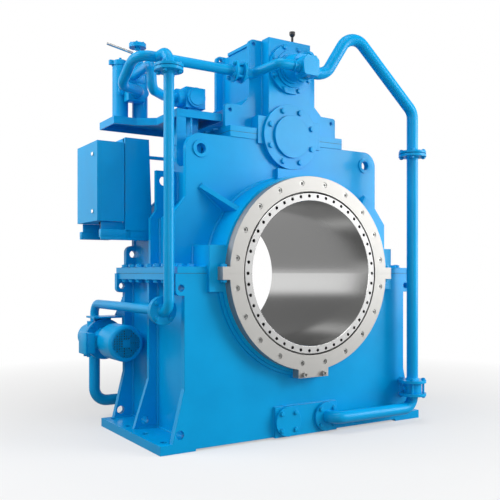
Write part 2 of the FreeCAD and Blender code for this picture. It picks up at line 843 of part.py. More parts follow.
def hollow_shaft():
    """Hollow shaft: coupling face, journals, wheel seat and shoulder."""
    chamfer = 3.0
    profile = [(bore_r + chamfer, shaft_front), (shaft_r - chamfer, shaft_front), (shaft_r, shaft_front + chamfer)]
    profile += [(shaft_r, front_bearing[0] - 15), (journal_r, front_bearing[0] - 15)]
    profile += [(journal_r, front_bearing[1] + 10), (seat_r, front_bearing[1] + 10)]
    profile += [(seat_r, stage1_face[1]), (shoulder_r, stage1_face[1])]
    profile += [(shoulder_r, stage1_face[1] + 40), (seat_r, stage1_face[1] + 40)]
    profile += [(seat_r, rear_bearing[0] - 10), (journal_r, rear_bearing[0] - 10)]
    profile += [(journal_r, rear_bearing[1] + 10), (shaft_r, rear_bearing[1] + 10)]
    profile += [(shaft_r, shaft_rear - chamfer), (shaft_r - chamfer, shaft_rear)]
    profile += [(bore_r + chamfer, shaft_rear), (bore_r, shaft_rear - chamfer), (bore_r, shaft_front + chamfer)]
    body = turned_body(profile)
    holes = []
    for x, z in circle_places(coupling_holes, coupling_pcd, 0, 0):
        holes.append(cyl_y(x, z, coupling_hole_r, shaft_front, shaft_front + coupling_hole_depth))
    return drill(body, *holes)


def main_wheel():
    """Main wheel: rim with teeth, web and hub, shrunk on the hollow shaft."""
    blank = gear(stage1_module, stage1_wheel_teeth, stage1_face, 0, 90.0)
    y0, y1 = stage1_face
    bore = cyl_y(0, 0, seat_r, y0, y1)
    front_groove = ring_y(0, 0, 632, 578, y0, y0 + 70)
    rear_groove = ring_y(0, 0, 632, 578, y1 - 70, y1)
    return drill(blank, bore, front_groove, rear_groove)


def half_shells(y0, y1):
    """Two half shells of one plain bearing of the hollow shaft."""
    shell = ring_y(0, 0, bearing_outer_r, journal_r + run_gap, y0, y1)
    return [upper_half(shell), lower_half_of(shell)]


def main_bearings():
    """Plain bearing shells of the hollow shaft, front and rear."""
    return group(half_shells(*front_bearing) + half_shells(*rear_bearing))


def intermediate_shaft():
    """Intermediate shaft with its pinion cut from the solid."""
    r = small_journal_r
    y0, y1 = stage1_face
    profile = [(0, small_front[0] - 4), (r, small_front[0] - 4), (r, small_front[1] + 8)]
    profile += [(r + 20, small_front[1] + 8), (r + 20, stage2_face[1]), (r + 40, stage2_face[1])]
    profile += [(r + 40, y1 + 10), (r + 15, y1 + 10), (r + 15, small_rear[0] - 4), (r, small_rear[0] - 4)]
    profile += [(r, small_rear[1] - 2), (0, small_rear[1] - 2)]
    shaft = turned_body(profile, intermediate_z)
    phase = -90.0 + 180.0 / stage1_pinion_teeth
    pinion = gear(stage1_module, stage1_pinion_teeth, stage1_face, intermediate_z, phase)
    return shaft.fuse(pinion)


def intermediate_wheel():
    """Wheel of the second stage: rim with teeth, web with holes, hub."""
    z = intermediate_z
    y0, y1 = stage2_face
    blank = gear(stage2_module, stage2_wheel_teeth, stage2_face, z, 90.0)
    cuts = [cyl_y(0, z, small_journal_r + 20, y0, y1)]
    cuts += [ring_y(0, z, 262, 172, y0, y0 + 27), ring_y(0, z, 262, 172, y1 - 27, y1)]
    cuts += [cyl_y(x, hz, 28, y0, y1) for x, hz in circle_places(8, 434, 0, z)]
    return drill(blank, *cuts)


def bearing_rings(z, inner_r, outer_r, spans):
    """Rolling bearings drawn as one ring each, with running clearance at the journal."""
    return group([ring_y(0, z, outer_r, inner_r + run_gap, y0, y1) for y0, y1 in spans])


def intermediate_bearings():
    """Bearings of the intermediate shaft."""
    return bearing_rings(intermediate_z, small_journal_r, small_bearing_r, (small_front, small_rear))


def output_bearings():
    """Bearings of the output shaft."""
    return bearing_rings(output_z, top_journal_r, top_bearing_r, (top_front, top_rear))


def round_cover(z, y_seat, direction, radius, thick, boss_r, boss, spigot_r, spigot, pcd):
    """Round bearing cover with a raised disc, a spigot and bolt holes."""
    plate = Part.makeCylinder(radius, thick)
    disc = Part.makeCylinder(boss_r, boss, V(0, 0, thick), Z_DIR)
    body = join(plate, disc)
    if spigot:
        inside = Part.makeCylinder(spigot_r, spigot, V(0, 0, -spigot), Z_DIR)
        recess = Part.makeCylinder(spigot_r - 25, spigot, V(0, 0, -spigot), Z_DIR)
        body = join(body, inside).cut(recess)
    for i in range(cover_bolts):
        a = radians(22.5 + 360.0 * i / cover_bolts)
        spot = V(pcd / 2 * cos(a), pcd / 2 * sin(a), 0)
        body = body.cut(Part.makeCylinder(cover_bolt_r + 1, thick, spot, Z_DIR))
    return placed(body, V(0, y_seat, z), direction)


def intermediate_cover_front():
    """Front cover of the intermediate shaft."""
    spigot = small_front[0] - pad_front
    return round_cover(intermediate_z, pad_front, -Y_DIR, cover_r, cover_thick, cover_boss_r, cover_boss,
                       small_bearing_r - 0.5, spigot, cover_pcd)


def intermediate_cover_rear():
    """Rear cover of the intermediate shaft."""
    spigot = upper_flange_rear - small_rear[1]
    return round_cover(intermediate_z, upper_flange_rear, Y_DIR, cover_r, cover_thick, cover_boss_r, cover_boss,
                       small_bearing_r - 0.5, spigot, cover_pcd)


def output_cover(y_seat, direction, spigot):
    """Cover of the output shaft with a bore for the shaft."""
    cover = round_cover(output_z, y_seat, direction, top_cover_r, top_cover_thick, 119.0, 10.0,
                        top_bearing_r - 0.5, spigot, top_cover_pcd)
    return cover.cut(cyl_y(0, output_z, top_journal_r + 2, y_seat - 60, y_seat + 60))


def output_cover_front():
    """Front cover of the output shaft, which carries the pump."""
    return output_cover(tower_front, -Y_DIR, top_front[0] - tower_front)


def output_cover_rear():
    """Rear cover of the output shaft, with the seal bore."""
    return output_cover(top_rear_face, Y_DIR, top_rear_face - top_rear[1])


def cover_screws():
    """Hexagon screws of the round covers."""
    screws = []
    shank = cover_thick
    for x, z in circle_places(cover_bolts, cover_pcd, 0, intermediate_z, 22.5):
        screws.append(hex_screw(V(x, pad_front - cover_thick, z), -Y_DIR, cover_bolt_r, shank, cover_bolt_af, 14.0))
        rear = upper_flange_rear + cover_thick
        screws.append(hex_screw(V(x, rear, z), Y_DIR, cover_bolt_r, shank, cover_bolt_af, 14.0))
    shank = top_cover_thick
    for x, z in circle_places(cover_bolts, top_cover_pcd, 0, output_z, 22.5):
        screws.append(hex_screw(V(x, tower_front - shank, z), -Y_DIR, cover_bolt_r, shank, 26.0, 12.0))
        screws.append(hex_screw(V(x, top_rear_face + shank, z), Y_DIR, cover_bolt_r, shank, 26.0, 12.0))
    return group(screws)


def output_shaft():
    """Output shaft: pinion cut from the solid, journals, rear flange and front pump spindle."""
    r = top_journal_r
    step = r + 15
    profile = [(0, pump_split - 12), (pump_shaft_r, pump_split - 12), (pump_shaft_r, tower_front - 10)]
    profile += [(r - 12, tower_front - 10), (r - 12, top_front[0] - 4), (r, top_front[0] - 4)]
    profile += [(r, top_front[1] + 8), (step, top_front[1] + 8), (step, top_rear[0] - 8), (r, top_rear[0] - 8)]
    profile += [(r, 822), (130, 822), (130, 850), (0, 850)]
    shaft = turned_body(profile, output_z)
    phase = -90.0 + 180.0 / stage2_pinion_teeth
    pinion = gear(stage2_module, stage2_pinion_teeth, stage2_face, output_z, phase)
    body = shaft.fuse(pinion)
    holes = [cyl_y(x, z, 9, 822, 850) for x, z in circle_places(8, 210, 0, output_z, 22.5)]
    return drill(body, *holes)


def pump_outline(side):
    """Stadium outline of the pump, round both gear axes, as a solid along Y."""
    def solid(y0, y1):
        ends = [cyl_y(0, output_z, side, y0, y1), cyl_y(0, pump_idler_z, side, y0, y1)]
        return join(box(-side, side, y0, y1, pump_idler_z, output_z), *ends)
    return solid


def pump_adapter():
    """Lantern between the front cover and the pump."""
    y1 = tower_front - top_cover_thick - 10
    flange = cyl_y(0, output_z, 98, y1 - 14, y1)
    neck = Part.makeCone(72, 86, y1 - 14 - pump_rear, V(0, pump_rear, output_z), Y_DIR)
    foot = pump_outline(pump_side)(pump_rear, pump_rear + 16)
    body = join(flange, neck, foot)
    return body.cut(cyl_y(0, output_z, pump_shaft_r + 6, pump_rear, y1))


def port_neck(sign):
    """Waisted port of the pump on one side."""
    reach = pump_port_x - pump_side
    points = [V(0, 0, 0), V(40, 0, 0), V(40, 0, 6), V(30, 0, 16), V(30, 0, reach - 18)]
    points += [V(42, 0, reach - 8), V(42, 0, reach), V(0, 0, reach)]
    neck = Part.Face(Part.makePolygon(points + points[:1])).revolve(ORIGIN, Z_DIR, 360)
    return placed(neck, V(sign * pump_side, pump_port_y, pump_port_z), V(sign, 0, 0))


def pump_body():
    """Gear pump housing: two gear bores, side ports and the idler's rear bearing bore."""
    y0 = pump_split
    y1 = pump_rear
    block = pump_outline(pump_side)(y0, y1)
    body = join(block, port_neck(1), port_neck(-1))
    tip_r = pump_module * (pump_teeth / 2 + 0.8)
    cuts = [cyl_y(0, z, tip_r + run_gap, y0, y1 - 12) for z in (output_z, pump_idler_z)]
    cuts += [cyl_y(0, output_z, pump_shaft_r + run_gap, y0, y1)]
    cuts += [cyl_y(0, pump_idler_z, pump_shaft_r + run_gap, y0, y1 - 2)]
    cuts += [cyl_x(pump_port_y, pump_port_z, 24, -pump_port_x, pump_port_x)]
    return drill(body, *cuts)


def pump_cover():
    """Front cover of the pump, with blind bearing bores for both spindles."""
    body = pump_outline(pump_side)(pump_front, pump_split)
    cuts = [cyl_y(0, z, pump_shaft_r + run_gap, pump_split - 14, pump_split) for z in (output_z, pump_idler_z)]
    return drill(body, *cuts)


def pump_gear(z, phase):
    """Gear of the attached pump."""
    face = (pump_split + 0.5, pump_rear - 12.5)
    return gear(pump_module, pump_teeth, face, z, phase, 0.8, 0.2, 0.06)


def pump_drive_gear():
    """Driving gear on the output shaft's front spindle."""
    return pump_gear(output_z, -90.0).cut(cyl_y(0, output_z, pump_shaft_r, pump_split, pump_rear))


def pump_idler_gear():
    """Idler gear with its own spindle."""
    spindle = cyl_y(0, pump_idler_z, pump_shaft_r, pump_split - 12, pump_rear - 3)
    return pump_gear(pump_idler_z, 90.0 + 180.0 / pump_teeth).fuse(spindle)


def pressure_pipe():
    """Pipe from the attached pump to the non-return valve."""
    end = V(check_x[1], manifold_y, manifold_z)
    points = [V(-pump_port_x, pump_port_y, pump_port_z), V(-205, pump_port_y, pump_port_z)]
    points += [V(-288, manifold_y, manifold_z), end]
    flange = pipe_flange(end, -X_DIR, small_flange, small_pcd, small_od / 2)
    return pipe(points, [60.0, 38.0], small_od, [flange])


def check_valve():
    """Wafer non-return valve, clamped between two flanges."""
    body = cyl_x(manifold_y, manifold_z, 52, check_x[0] + gasket, check_x[1] - gasket)
    for x0 in (check_x[0], check_x[1] - gasket):
        body = body.fuse(cyl_x(manifold_y, manifold_z, 48, x0, x0 + gasket))
    bore = cyl_x(manifold_y, manifold_z, small_od / 2 - pipe_wall, check_x[0], check_x[1])
    return body.cut(bore)


def manifold_pipe():
    """Manifold behind the riser's top elbow, with its tee and the long elbow to the filter."""
    end = V(check_x[0], manifold_y, manifold_z)
    turn = V(-1042, manifold_y, manifold_z)
    over = V(-1042, 440, manifold_z - 8)
    down = V(-985, (head_y[0] + head_y[1]) / 2, 1170)
    inlet = V(head_x[0], (head_y[0] + head_y[1]) / 2, 1170)
    joint = V(riser_x, riser_y, riser_joint_z + gasket / 2)
    elbow = V(riser_x, riser_y, manifold_z)
    tee = V(riser_x, manifold_y, manifold_z)
    branch = rod([joint, elbow, tee], [76.0], small_od / 2 - 1)
    branch_bore = rod([joint, elbow, tee], [76.0], small_od / 2 - 1 - pipe_wall)
    flanges = [pipe_flange(end, X_DIR, small_flange, small_pcd, small_od / 2)]
    flanges += [pipe_flange(joint, -Z_DIR, small_flange, small_pcd)]
    body = pipe([end, turn, over, down, inlet], [70.0, 110.0, 60.0], small_od, flanges + [branch])
    return body.cut(branch_bore)


def riser_pipe():
    """Vertical pipe from the standby pump's delivery up to the manifold."""
    top = V(riser_x, riser_y, riser_joint_z - gasket / 2)
    corner = V(riser_x, riser_y, riser_foot_z)
    foot = V(riser_x, riser_foot_y - gasket / 2, riser_foot_z)
    flanges = [pipe_flange(top, Z_DIR, small_flange, small_pcd, small_od / 2)]
    flanges += [pipe_flange(foot, Y_DIR, small_flange, small_pcd, small_od / 2)]
    return pipe([top, corner, foot], [60.0], small_od, flanges)


def suction_pipe_upper():
    """Suction pipe from the joint beside the tower, over the hump, down to the pump."""
    start = V(pump_port_x, pump_port_y, pump_port_z)
    corner = V(208, pump_port_y, pump_port_z)
    peak = V(346, -66, 1530)
    knee = V(suction_x, suction_y, 1094)
    end = V(suction_x, suction_y, suction_joint_z + gasket / 2)
    flange = pipe_flange(end, -Z_DIR, large_flange, large_pcd, large_od / 2)
    return pipe([start, corner, peak, knee, end], [105.0, 100.0, 95.0], large_od, [flange])


def suction_pipe_middle():
    """Straight suction pipe beside the casing."""
    top = V(suction_x, suction_y, suction_joint_z - gasket / 2)
    foot = V(suction_x, suction_y, suction_valve_z[1])
    flanges = [pipe_flange(top, Z_DIR, large_flange, large_pcd, large_od / 2)]
    flanges += [pipe_flange(foot, -Z_DIR, large_flange, large_pcd, large_od / 2)]
    return pipe([top, foot], [], large_od, flanges)


def suction_valve():
    """Wafer valve clamped between two suction flanges."""
    z0, z1 = suction_valve_z
    body = cyl_z(suction_x, suction_y, 62, z0, z1)
    body = body.fuse(cyl_x(suction_y, (z0 + z1) / 2, 12, suction_x - 74, suction_x))
    return body.cut(cyl_z(suction_x, suction_y, large_od / 2 - pipe_wall, z0, z1))


def suction_pipe_lower():
    """Suction pipe from the wafer valve along the front to the oil sump's port."""
    top = V(suction_x, suction_y, suction_valve_z[0])
    corner = V(suction_x, suction_y, suction_z)
    turn = V(inlet_x, suction_y, suction_z)
    end = V(inlet_x, inlet_pad_front, suction_z)
    flanges = [pipe_flange(top, Z_DIR, large_flange, large_pcd)]
    flanges += [pipe_flange(end, Y_DIR, large_flange, large_pcd)]
    return pipe([top, corner, turn, end], [80.0, 68.0], large_od, flanges)


def blind_flange():
    """Blind flange on the spare port of the sump pad."""
    face = V(-inlet_x, inlet_pad_front, suction_z)
    return pipe_flange(face, Y_DIR, large_flange, large_pcd)


def pipe_flange_bolts():
    """Bolts of every pipe flange joint."""
    t = flange_plate
    bolts = []
    down = suction_joint_z - gasket / 2 - t
    bolts += flange_studs(V(suction_x, suction_y, down), Z_DIR, 2 * t + gasket, large_pcd)
    low = suction_valve_z[0] - t
    grip = suction_valve_z[1] - suction_valve_z[0] + 2 * t
    bolts += flange_studs(V(suction_x, suction_y, low), Z_DIR, grip, large_pcd)
    low = riser_joint_z - gasket / 2 - t
    bolts += flange_studs(V(riser_x, riser_y, low), Z_DIR, 2 * t + gasket, small_pcd)
    near = riser_foot_y - gasket / 2 - t
    bolts += flange_studs(V(riser_x, near, riser_foot_z), Y_DIR, 2 * t + gasket, small_pcd)
    grip = check_x[1] - check_x[0] + 2 * t
    bolts += flange_studs(V(check_x[0] - t, manifold_y, manifold_z), X_DIR, grip, small_pcd)
    for x in (-inlet_x, inlet_x):
        face = V(x, inlet_pad_front - t, suction_z)
        turn = FreeCAD.Rotation(Z_DIR, Y_DIR)
        for i in range(flange_bolts):
            a = radians(45 + 90 * i)
            spot = face + turn.multVec(V(large_pcd / 2 * cos(a), large_pcd / 2 * sin(a), 0))
            bolts.append(hex_screw(spot, -Y_DIR, flange_bolt_r, t, 24.0, 11.0))
    face = V(standby_suction_x, casing_rear + 12 + t, standby_suction_z)
    turn = FreeCAD.Rotation(Z_DIR, -Y_DIR)
    for i in range(flange_bolts):
        a = radians(45 + 90 * i)
        spot = face + turn.multVec(V(large_pcd / 2 * cos(a), large_pcd / 2 * sin(a), 0))
        bolts.append(hex_screw(spot, Y_DIR, flange_bolt_r, t, 24.0, 11.0))
    return group(bolts)


def filter_bowls():
    """Two filter bowls standing on the platform."""
    bowls = []
    for x in bowl_x:
        outer = cyl_z(x, bowl_y, bowl_r, platform_z, bowl_top)
        inner = cyl_z(x, bowl_y, bowl_r - bowl_wall, platform_z + 12, bowl_top)
        bowls.append(outer.cut(inner))
    return group(bowls)


def filter_caps():
    """Clamped caps of the filter bowls, each with a clamp lug and a vent."""
    caps = []
    for x in bowl_x:
        disc = cyl_z(x, bowl_y, bowl_r + 4, bowl_top, bowl_top + 26)
        dome = Part.makeCone(bowl_r + 4, bowl_r - 14, 12, V(x, bowl_y, bowl_top + 26), Z_DIR)
        lug = box(x - bowl_r - 24, x - bowl_r + 4, bowl_y - 13, bowl_y + 13, bowl_top + 2, bowl_top + 32)
        vent = cyl_z(x, bowl_y, 9, bowl_top + 36, bowl_top + 56)
        caps.append(join(disc, dome, lug, vent))
    return group(caps)


def filter_head():
    """Changeover block between the bowls, with its column and top bonnet."""
    block = box(head_x[0], head_x[1], head_y[0], head_y[1], head_z[0], head_z[1])
    arms = [cyl_y(x + (8 if x < changeover_x else -5), 1200, 34, head_y[1] - 0.001, bowl_y) for x in bowl_x]
    column = cyl_z(changeover_x, changeover_y, 38, head_z[1], lever_z - 18)
    spindle = cyl_z(changeover_x, changeover_y, 20, lever_z - 18, lever_z + 18)
    bonnet = cyl_z(changeover_x, changeover_y, 46, lever_z + 18, lever_z + 62)
    crown = Part.makeCone(46, 30, 14, V(changeover_x, changeover_y, lever_z + 62), Z_DIR)
    body = join(block, *arms, column, spindle, bonnet, crown)
    bowls = [cyl_z(x, bowl_y, bowl_r, platform_z, bowl_top) for x in bowl_x]
    gas_way = cyl_x((head_y[0] + head_y[1]) / 2, 1170, small_od / 2 - pipe_wall, head_x[0], head_x[0] + 60)
    return drill(body, gas_way, *bowls)


def filter_lever():
    """Changeover lever: hub on the spindle and a bent round bar."""
    hub = cyl_z(changeover_x, changeover_y, 33, lever_z - 16, lever_z + 14)
    start = V(changeover_x - 22, changeover_y, lever_z)
    knee = V(changeover_x - 58, changeover_y, lever_z + 8)
    bar = rod([start, knee, lever_tip], [60.0], 8.5)
    body = hub.fuse(bar).removeSplitter()
    return body.cut(cyl_z(changeover_x, changeover_y, 20 + run_gap, lever_z - 20, lever_z + 20))


def cross_pipe():
    """Pipe from the filter head down and across to the thermostat valve."""
    points = [V(head_x[1], 716, 1236), V(-716, 716, 1236), V(-730, 585, 1236), V(-748, 465, 1118),
              V(valve_neck_x, 465, 1118)]
    return pipe(points, [40.0, 50.0, 40.0], small_od)


def thermostat_valve():
    """Thermostat valve: body on a foot, with an inlet neck to the left."""
    body = box(valve_x[0], valve_x[1], valve_y[0], valve_y[1], valve_z[0], valve_z[1])
    foot = box(valve_x[0] + 25, valve_x[1] - 25, valve_y[0] + 20, valve_y[1] - 20, platform_z, valve_z[0])
    neck = cyl_x(465, 1118, 58, valve_neck_x, valve_x[0])
    base = box(valve_x[0] + 5, valve_x[1] - 5, valve_y[0] + 8, valve_y[1] - 8, platform_z, platform_z + 14)
    way = cyl_x(465, 1118, small_od / 2 - pipe_wall, valve_neck_x, valve_x[0] + 50)
    return join(body, foot, neck, base).cut(way)


def thermostat_cover():
    """Round cover on the front of the thermostat valve."""
    x = (valve_x[0] + valve_x[1]) / 2
    plate = cyl_y(x, 1118, 63, valve_y[0] - 14, valve_y[0])
    disc = cyl_y(x, 1118, 50, valve_y[0] - 19, valve_y[0] - 14)
    return join(plate, disc)


def platform_outline():
    """Plan of the platform from above, from the rear left corner round the front."""
    return [(-1000, 960), (-1000, 700), (-850, 690), (-742, 612), (-752, 300), (-441, 285),
            (-441, 960)]


def platform():
    """Tray that carries the filter and the valve, with its skirt and posts on the casing roof."""
    outline = platform_outline()
    tray = plate_z(outline, platform_z - platform_skirt, platform_z)
    t = platform_skin
    inner = [(-1000 + t, 960 - t), (-1000 + t, 700 + t), (-848 + t, 690 + t), (-742 + t, 612 + 5),
             (-752 + t, 300 + t), (-441 - t, 285 + t), (-441 - t, 960 - t)]
    tray = tray.cut(plate_z(inner, platform_z - platform_skirt, platform_z - t))
    posts = []
    for x, y in ((-600, 380), (-600, 640)):
        posts.append(box(x - 40, x + 40, y, y + 12, middle_top, platform_z - t))
    return join(tray, *posts)


def cabinet_bracket():
    """Frame that holds the cabinet beside the middle casing."""
    x0, x1 = cabinet_x
    y0, y1 = cabinet_y
    plate = [(x1, 255), (-shell_half, 255), (-shell_half, slant_low), (-shell_neck, slant_high)]
    plate += [(-shell_neck, 820), (x1, 859)]
    solids = [plate_y(plate, y0, y0 + 10)]
    solids += [box(x1, x1 + 30, y0, 810, 840, 868)]
    solids += [box(x0, -shell_half, y0, y0 + 40, 210, 255)]
    solids += [box(x1, x1 + 40, y0, y1 + 30, 210, 255)]
    solids += [box(x0, x1 + 40, y1 - 10, y1 + 30, 210, 255)]
    solids += [box(x1, x1 + 24, y1 - 60, y1 - 20, 210, 868), box(x1, x1 + 24, y0, y0 + 40, 210, 868)]
    solids += [box(x1, x1 + 24, y0, y1 - 20, 844, 868)]
    solids += [box(x1 + 24, -shell_neck, y1 - 60, y1 - 50, 480, 868)]
    return join(*solids)


def cabinet_box():
    """Cabinet body: five-sided sheet metal box, open to the door."""
    x0, x1 = cabinet_x
    y0, y1 = cabinet_y
    z0, z1 = cabinet_z
    t = cabinet_skin
    shell = box(x0, x1, y0, y1, z0, z1).cut(box(x0, x1 - t, y0 + t, y1 - t, z0 + t, z1 - t))
    panel = box(x1 - t - 22, x1 - t - 19, y0 + 30, y1 - 30, z0 + 30, z1 - 30)
    spacers = []
    for y in (y0 + 50, y1 - 50):
        for z in (z0 + 50, z1 - 50):
            spacers.append(cyl_x(y, z, 6, x1 - t - 20, x1 - t + 1))
    knuckles = []
    hx, hy = hinge_axis()
    for z in hinge_places():
        knuckles += [hinge_knuckle(z, knuckle), hinge_knuckle(z + 2 * knuckle, knuckle)]
        knuckles.append(cyl_z(hx, hy, hinge_pin_r, z, z + 3 * knuckle))
    return join(shell, panel, *spacers, *knuckles)


def hinge_axis():
    """Point (x, y) of the cabinet door's hinge axis."""
    return cabinet_x[0] - 9, cabinet_y[1] + 9


def hinge_places():
    """Lower ends of the cabinet's two hinges."""
    return cabinet_z[0] + hinge_inset, cabinet_z[1] - hinge_inset - 3 * knuckle


def hinge_knuckle(z, length):
    """Fixed knuckle of the cabinet's hinge with its leaf on the cabinet's side."""
    x, y = hinge_axis()
    barrel = cyl_z(x, y, hinge_r, z, z + length)
    leaf = box(x - 2, x + 34, cabinet_y[1], cabinet_y[1] + 4, z, z + length)
    return barrel.fuse(leaf)


def cabinet_door():
    """Cabinet door: folded sheet with its hinge sleeves and lock holes."""
    x1 = cabinet_x[0] - door_gap
    x0 = x1 - door_thick
    y0, y1 = cabinet_y
    z0, z1 = cabinet_z
    t = cabinet_skin
    slab = box(x0, x1, y0, y1 - 0.5, z0, z1)
    hollow = box(x0 + t, x1, y0 + 18, y1 - 18, z0 + 18, z1 - 18)
    sleeves = []
    hx, hy = hinge_axis()
    for z in hinge_places():
        low = z + knuckle + knuckle_gap
        high = z + 2 * knuckle - knuckle_gap
        leaf = box(x0 + 4, hx, y1 - 4, hy + 2, low, high)
        sleeve = cyl_z(hx, hy, hinge_r, low, high).fuse(leaf)
        sleeves.append(sleeve.cut(cyl_z(hx, hy, hinge_pin_r + run_gap, low, high)))
    body = join(slab.cut(hollow), *sleeves)
    locks = [cyl_x(lock_y, z, 9 + run_gap, x0 - 1, x1 + 1) for z in lock_z]
    return drill(body, *locks)


def cabinet_lock(z):
    """Quarter-turn lock: barrel, face plate and tongue behind the door."""
    x0 = cabinet_x[0] - door_gap - door_thick
    barrel = cyl_x(lock_y, z, 9, x0 - 2, x0 + door_thick - 12)
    head = cyl_x(lock_y, z, 13, x0 - 7, x0 - 0.3)
    grip = box(x0 - 12, x0 - 6, lock_y - 2.5, lock_y + 2.5, z - 10, z + 10)
    tongue = box(x0 + cabinet_skin + 1, x0 + cabinet_skin + 4, lock_y - 8, lock_y + 8, z - 12, z + 26)
    return join(barrel, head, grip, tongue)


def cable_glands():
    """Two angled cable glands under the cabinet, without cables."""
    glands = []
    for y in (700, 760):
        top = V(-1060, y, cabinet_z[0])
        body = rod([top, top - V(0, 0, 38), top - V(0, 26, 64)], [20.0], 12.0)
        nut = placed(hexagon(32.0, 10.0), top - V(0, 0, 10), Z_DIR)
        glands.append(join(body, nut))
    return group(glands)


def motor_tube(r, y0, y1):
    """Cylinder about the standby motor's axis."""
    return cyl_y(motor_x, motor_z, r, y0, y1)


def standby_motor():
    """Standby motor: finned frame, end shields and mounting flange."""
    y0, y1 = motor_body
    frame = motor_tube(motor_r - 12, y0, y1)
    fins = []
    for i in range(36):
        fin = box(motor_x - 1.5, motor_x + 1.5, y0 + 6, y1 - 6, motor_z + motor_r - 16, motor_z + motor_r)
        fins.append(turned(fin, 10.0 * i, motor_x, motor_z))
    shield = motor_tube(motor_end_r, y1, motor_flange[0])
    flange = motor_tube(motor_flange_r, motor_flange[0], motor_flange[1])
    saddle = box(motor_x - motor_r - 4, motor_x - 40, 720, 840, motor_z - 45, motor_z + 45)
    body = join(frame, shield, flange, saddle, *fins)
    cavity = motor_tube(62, y0 + 10, y1 + 30)
    bore = motor_tube(rotor_r + run_gap, y0 - 1, motor_flange[1] + 1)
    holes = [cyl_y(x, z, 7, motor_flange[0], motor_flange[1])
             for x, z in circle_places(4, 215, motor_x, motor_z, 45.0)]
    return drill(body, cavity, bore, *holes)


def rounded_front(shape, y, radius):
    """The shape with the edges in one Y plane rounded."""
    edges = [edge for edge in shape.Edges if abs(edge.BoundBox.YMax - y) < 0.01]
    return shape.makeFillet(radius, edges)


def fan_cowl():
    """Fan cowl with a round grille of square holes."""
    y0 = cowl_front
    y1 = motor_body[0] + 18
    skin = 2.5
    shell = rounded_front(motor_tube(cowl_r, y0, y1), y0, 12.0)
    shell = shell.cut(rounded_front(motor_tube(cowl_r - skin, y0 + skin, y1), y0 + skin, 12.0 - skin))
    step = 13.0
    holes = []
    for i in range(-5, 6):
        for j in range(-5, 6):
            x = i * step
            z = j * step
            if hypot(x, z) > 68 or hypot(x, z) < 20:
                continue
            holes.append(box(motor_x + x - 4, motor_x + x + 4, y0 - 1, y0 + skin + 1,
                             motor_z + z - 4, motor_z + z + 4))
    ring = motor_tube(cowl_r - skin, motor_body[0] + 2, motor_body[0] + 5)
    ring = ring.cut(motor_tube(motor_r - 12, motor_body[0], motor_body[0] + 10))
    return join(drill(shell, *holes), ring)


def standby_rotor():
    """Rotor of the standby motor: core, shaft, fan and the pump's drive screw."""
    y0, y1 = motor_body
    core = motor_tube(58, y0 + 20, y1 + 20)
    shaft = motor_tube(rotor_r, y0 - 34, standby_rear - 30)
    hub = motor_tube(24, y0 - 38, y0 - 10)
    blades = []
    for i in range(8):
        blade = box(motor_x - 2, motor_x + 2, y0 - 36, y0 - 12, motor_z + 18, motor_z + 92)
        blades.append(turned(blade, 45.0 * i, motor_x, motor_z))
    coupling = motor_tube(34, motor_flange[1] + 14, bell_rear - 22)
    screw = motor_tube(40, bell_rear + 30, standby_rear - 40)
    return join(shaft, core, hub, coupling, screw, *blades)


def standby_pump():
    """Standby pump: bell housing, pump barrel and in-line ports."""
    y0 = motor_flange[1]
    y1 = bell_rear
    flange = motor_tube(motor_flange_r, y0, y0 + 14)
    cone = Part.makeCone(104, 84, y1 - y0, V(motor_x, y0, motor_z), Y_DIR)
    barrel = motor_tube(standby_r, y1, standby_rear)
    end = motor_tube(standby_r - 14, standby_rear, standby_rear + 14)
    low, high = standby_port_z
    ports = cyl_z(motor_x, standby_y, 52, low, high)
    foot = box(motor_x - 60, motor_x + 60, y0 + 30, y1 + 10, motor_z + 70, -302)
    body = join(flange, cone, barrel, end, ports, foot)
    cuts = [motor_tube(70, y0, y1 - 14), motor_tube(40 + run_gap, y1 + 20, standby_rear - 30)]
    cuts += [motor_tube(rotor_r + run_gap, y0, y1 + 30), motor_tube(rotor_r + run_gap, y1, standby_rear - 20)]
    cuts += [box(motor_x - 130, motor_x + 130, y0 + 30, y1 - 30, motor_z - 24, motor_z + 24)]
    cuts += [cyl_z(motor_x, standby_y, small_od / 2 - pipe_wall, low, high)]
    cuts += [cyl_y(x, z, 7, y0, y0 + 14) for x, z in circle_places(4, 215, motor_x, motor_z, 45.0)]
    return drill(body, *cuts)


def standby_console():
    """Console on the casing's rear corner that the bell housing hangs from."""
    plate = box(motor_x - 110, -side_wall, casing_rear, bell_rear + 20, -302, -290)
    wall = box(-lower_half, -side_wall + 60, casing_rear, casing_rear + 12, -420, -160)
    web = plate_x([(casing_rear, -160), (bell_rear + 10, -290), (casing_rear, -290)], -lower_half, -lower_half + 12)
    return join(plate, wall, web)


def terminal_box():
    """Terminal box of the standby motor, on the side away from the casing."""
    inner = motor_x - motor_r - 4
    body = box(inner - 78, inner, 724, 850, motor_z - 60, motor_z + 60)
    lid = box(inner - 92, inner - 78, 718, 856, motor_z - 66, motor_z + 66)
    gland = cyl_z(inner - 45, 750, 12, motor_z - 84, motor_z - 60)
    gland = gland.fuse(cyl_z(inner - 45, 800, 12, motor_z - 84, motor_z - 60))
    return join(body, lid, gland)


def standby_discharge_pipe():
    """Delivery pipe of the standby pump, forward along the casing to the riser."""
    start = V(motor_x, riser_foot_y + gasket / 2, riser_foot_z)
    corner = V(motor_x, standby_y, riser_foot_z)
    end = V(motor_x, standby_y, standby_port_z[1])
    flange = pipe_flange(start, -Y_DIR, small_flange, small_pcd, small_od / 2)
    return pipe([start, corner, end], [76.0], small_od, [flange])


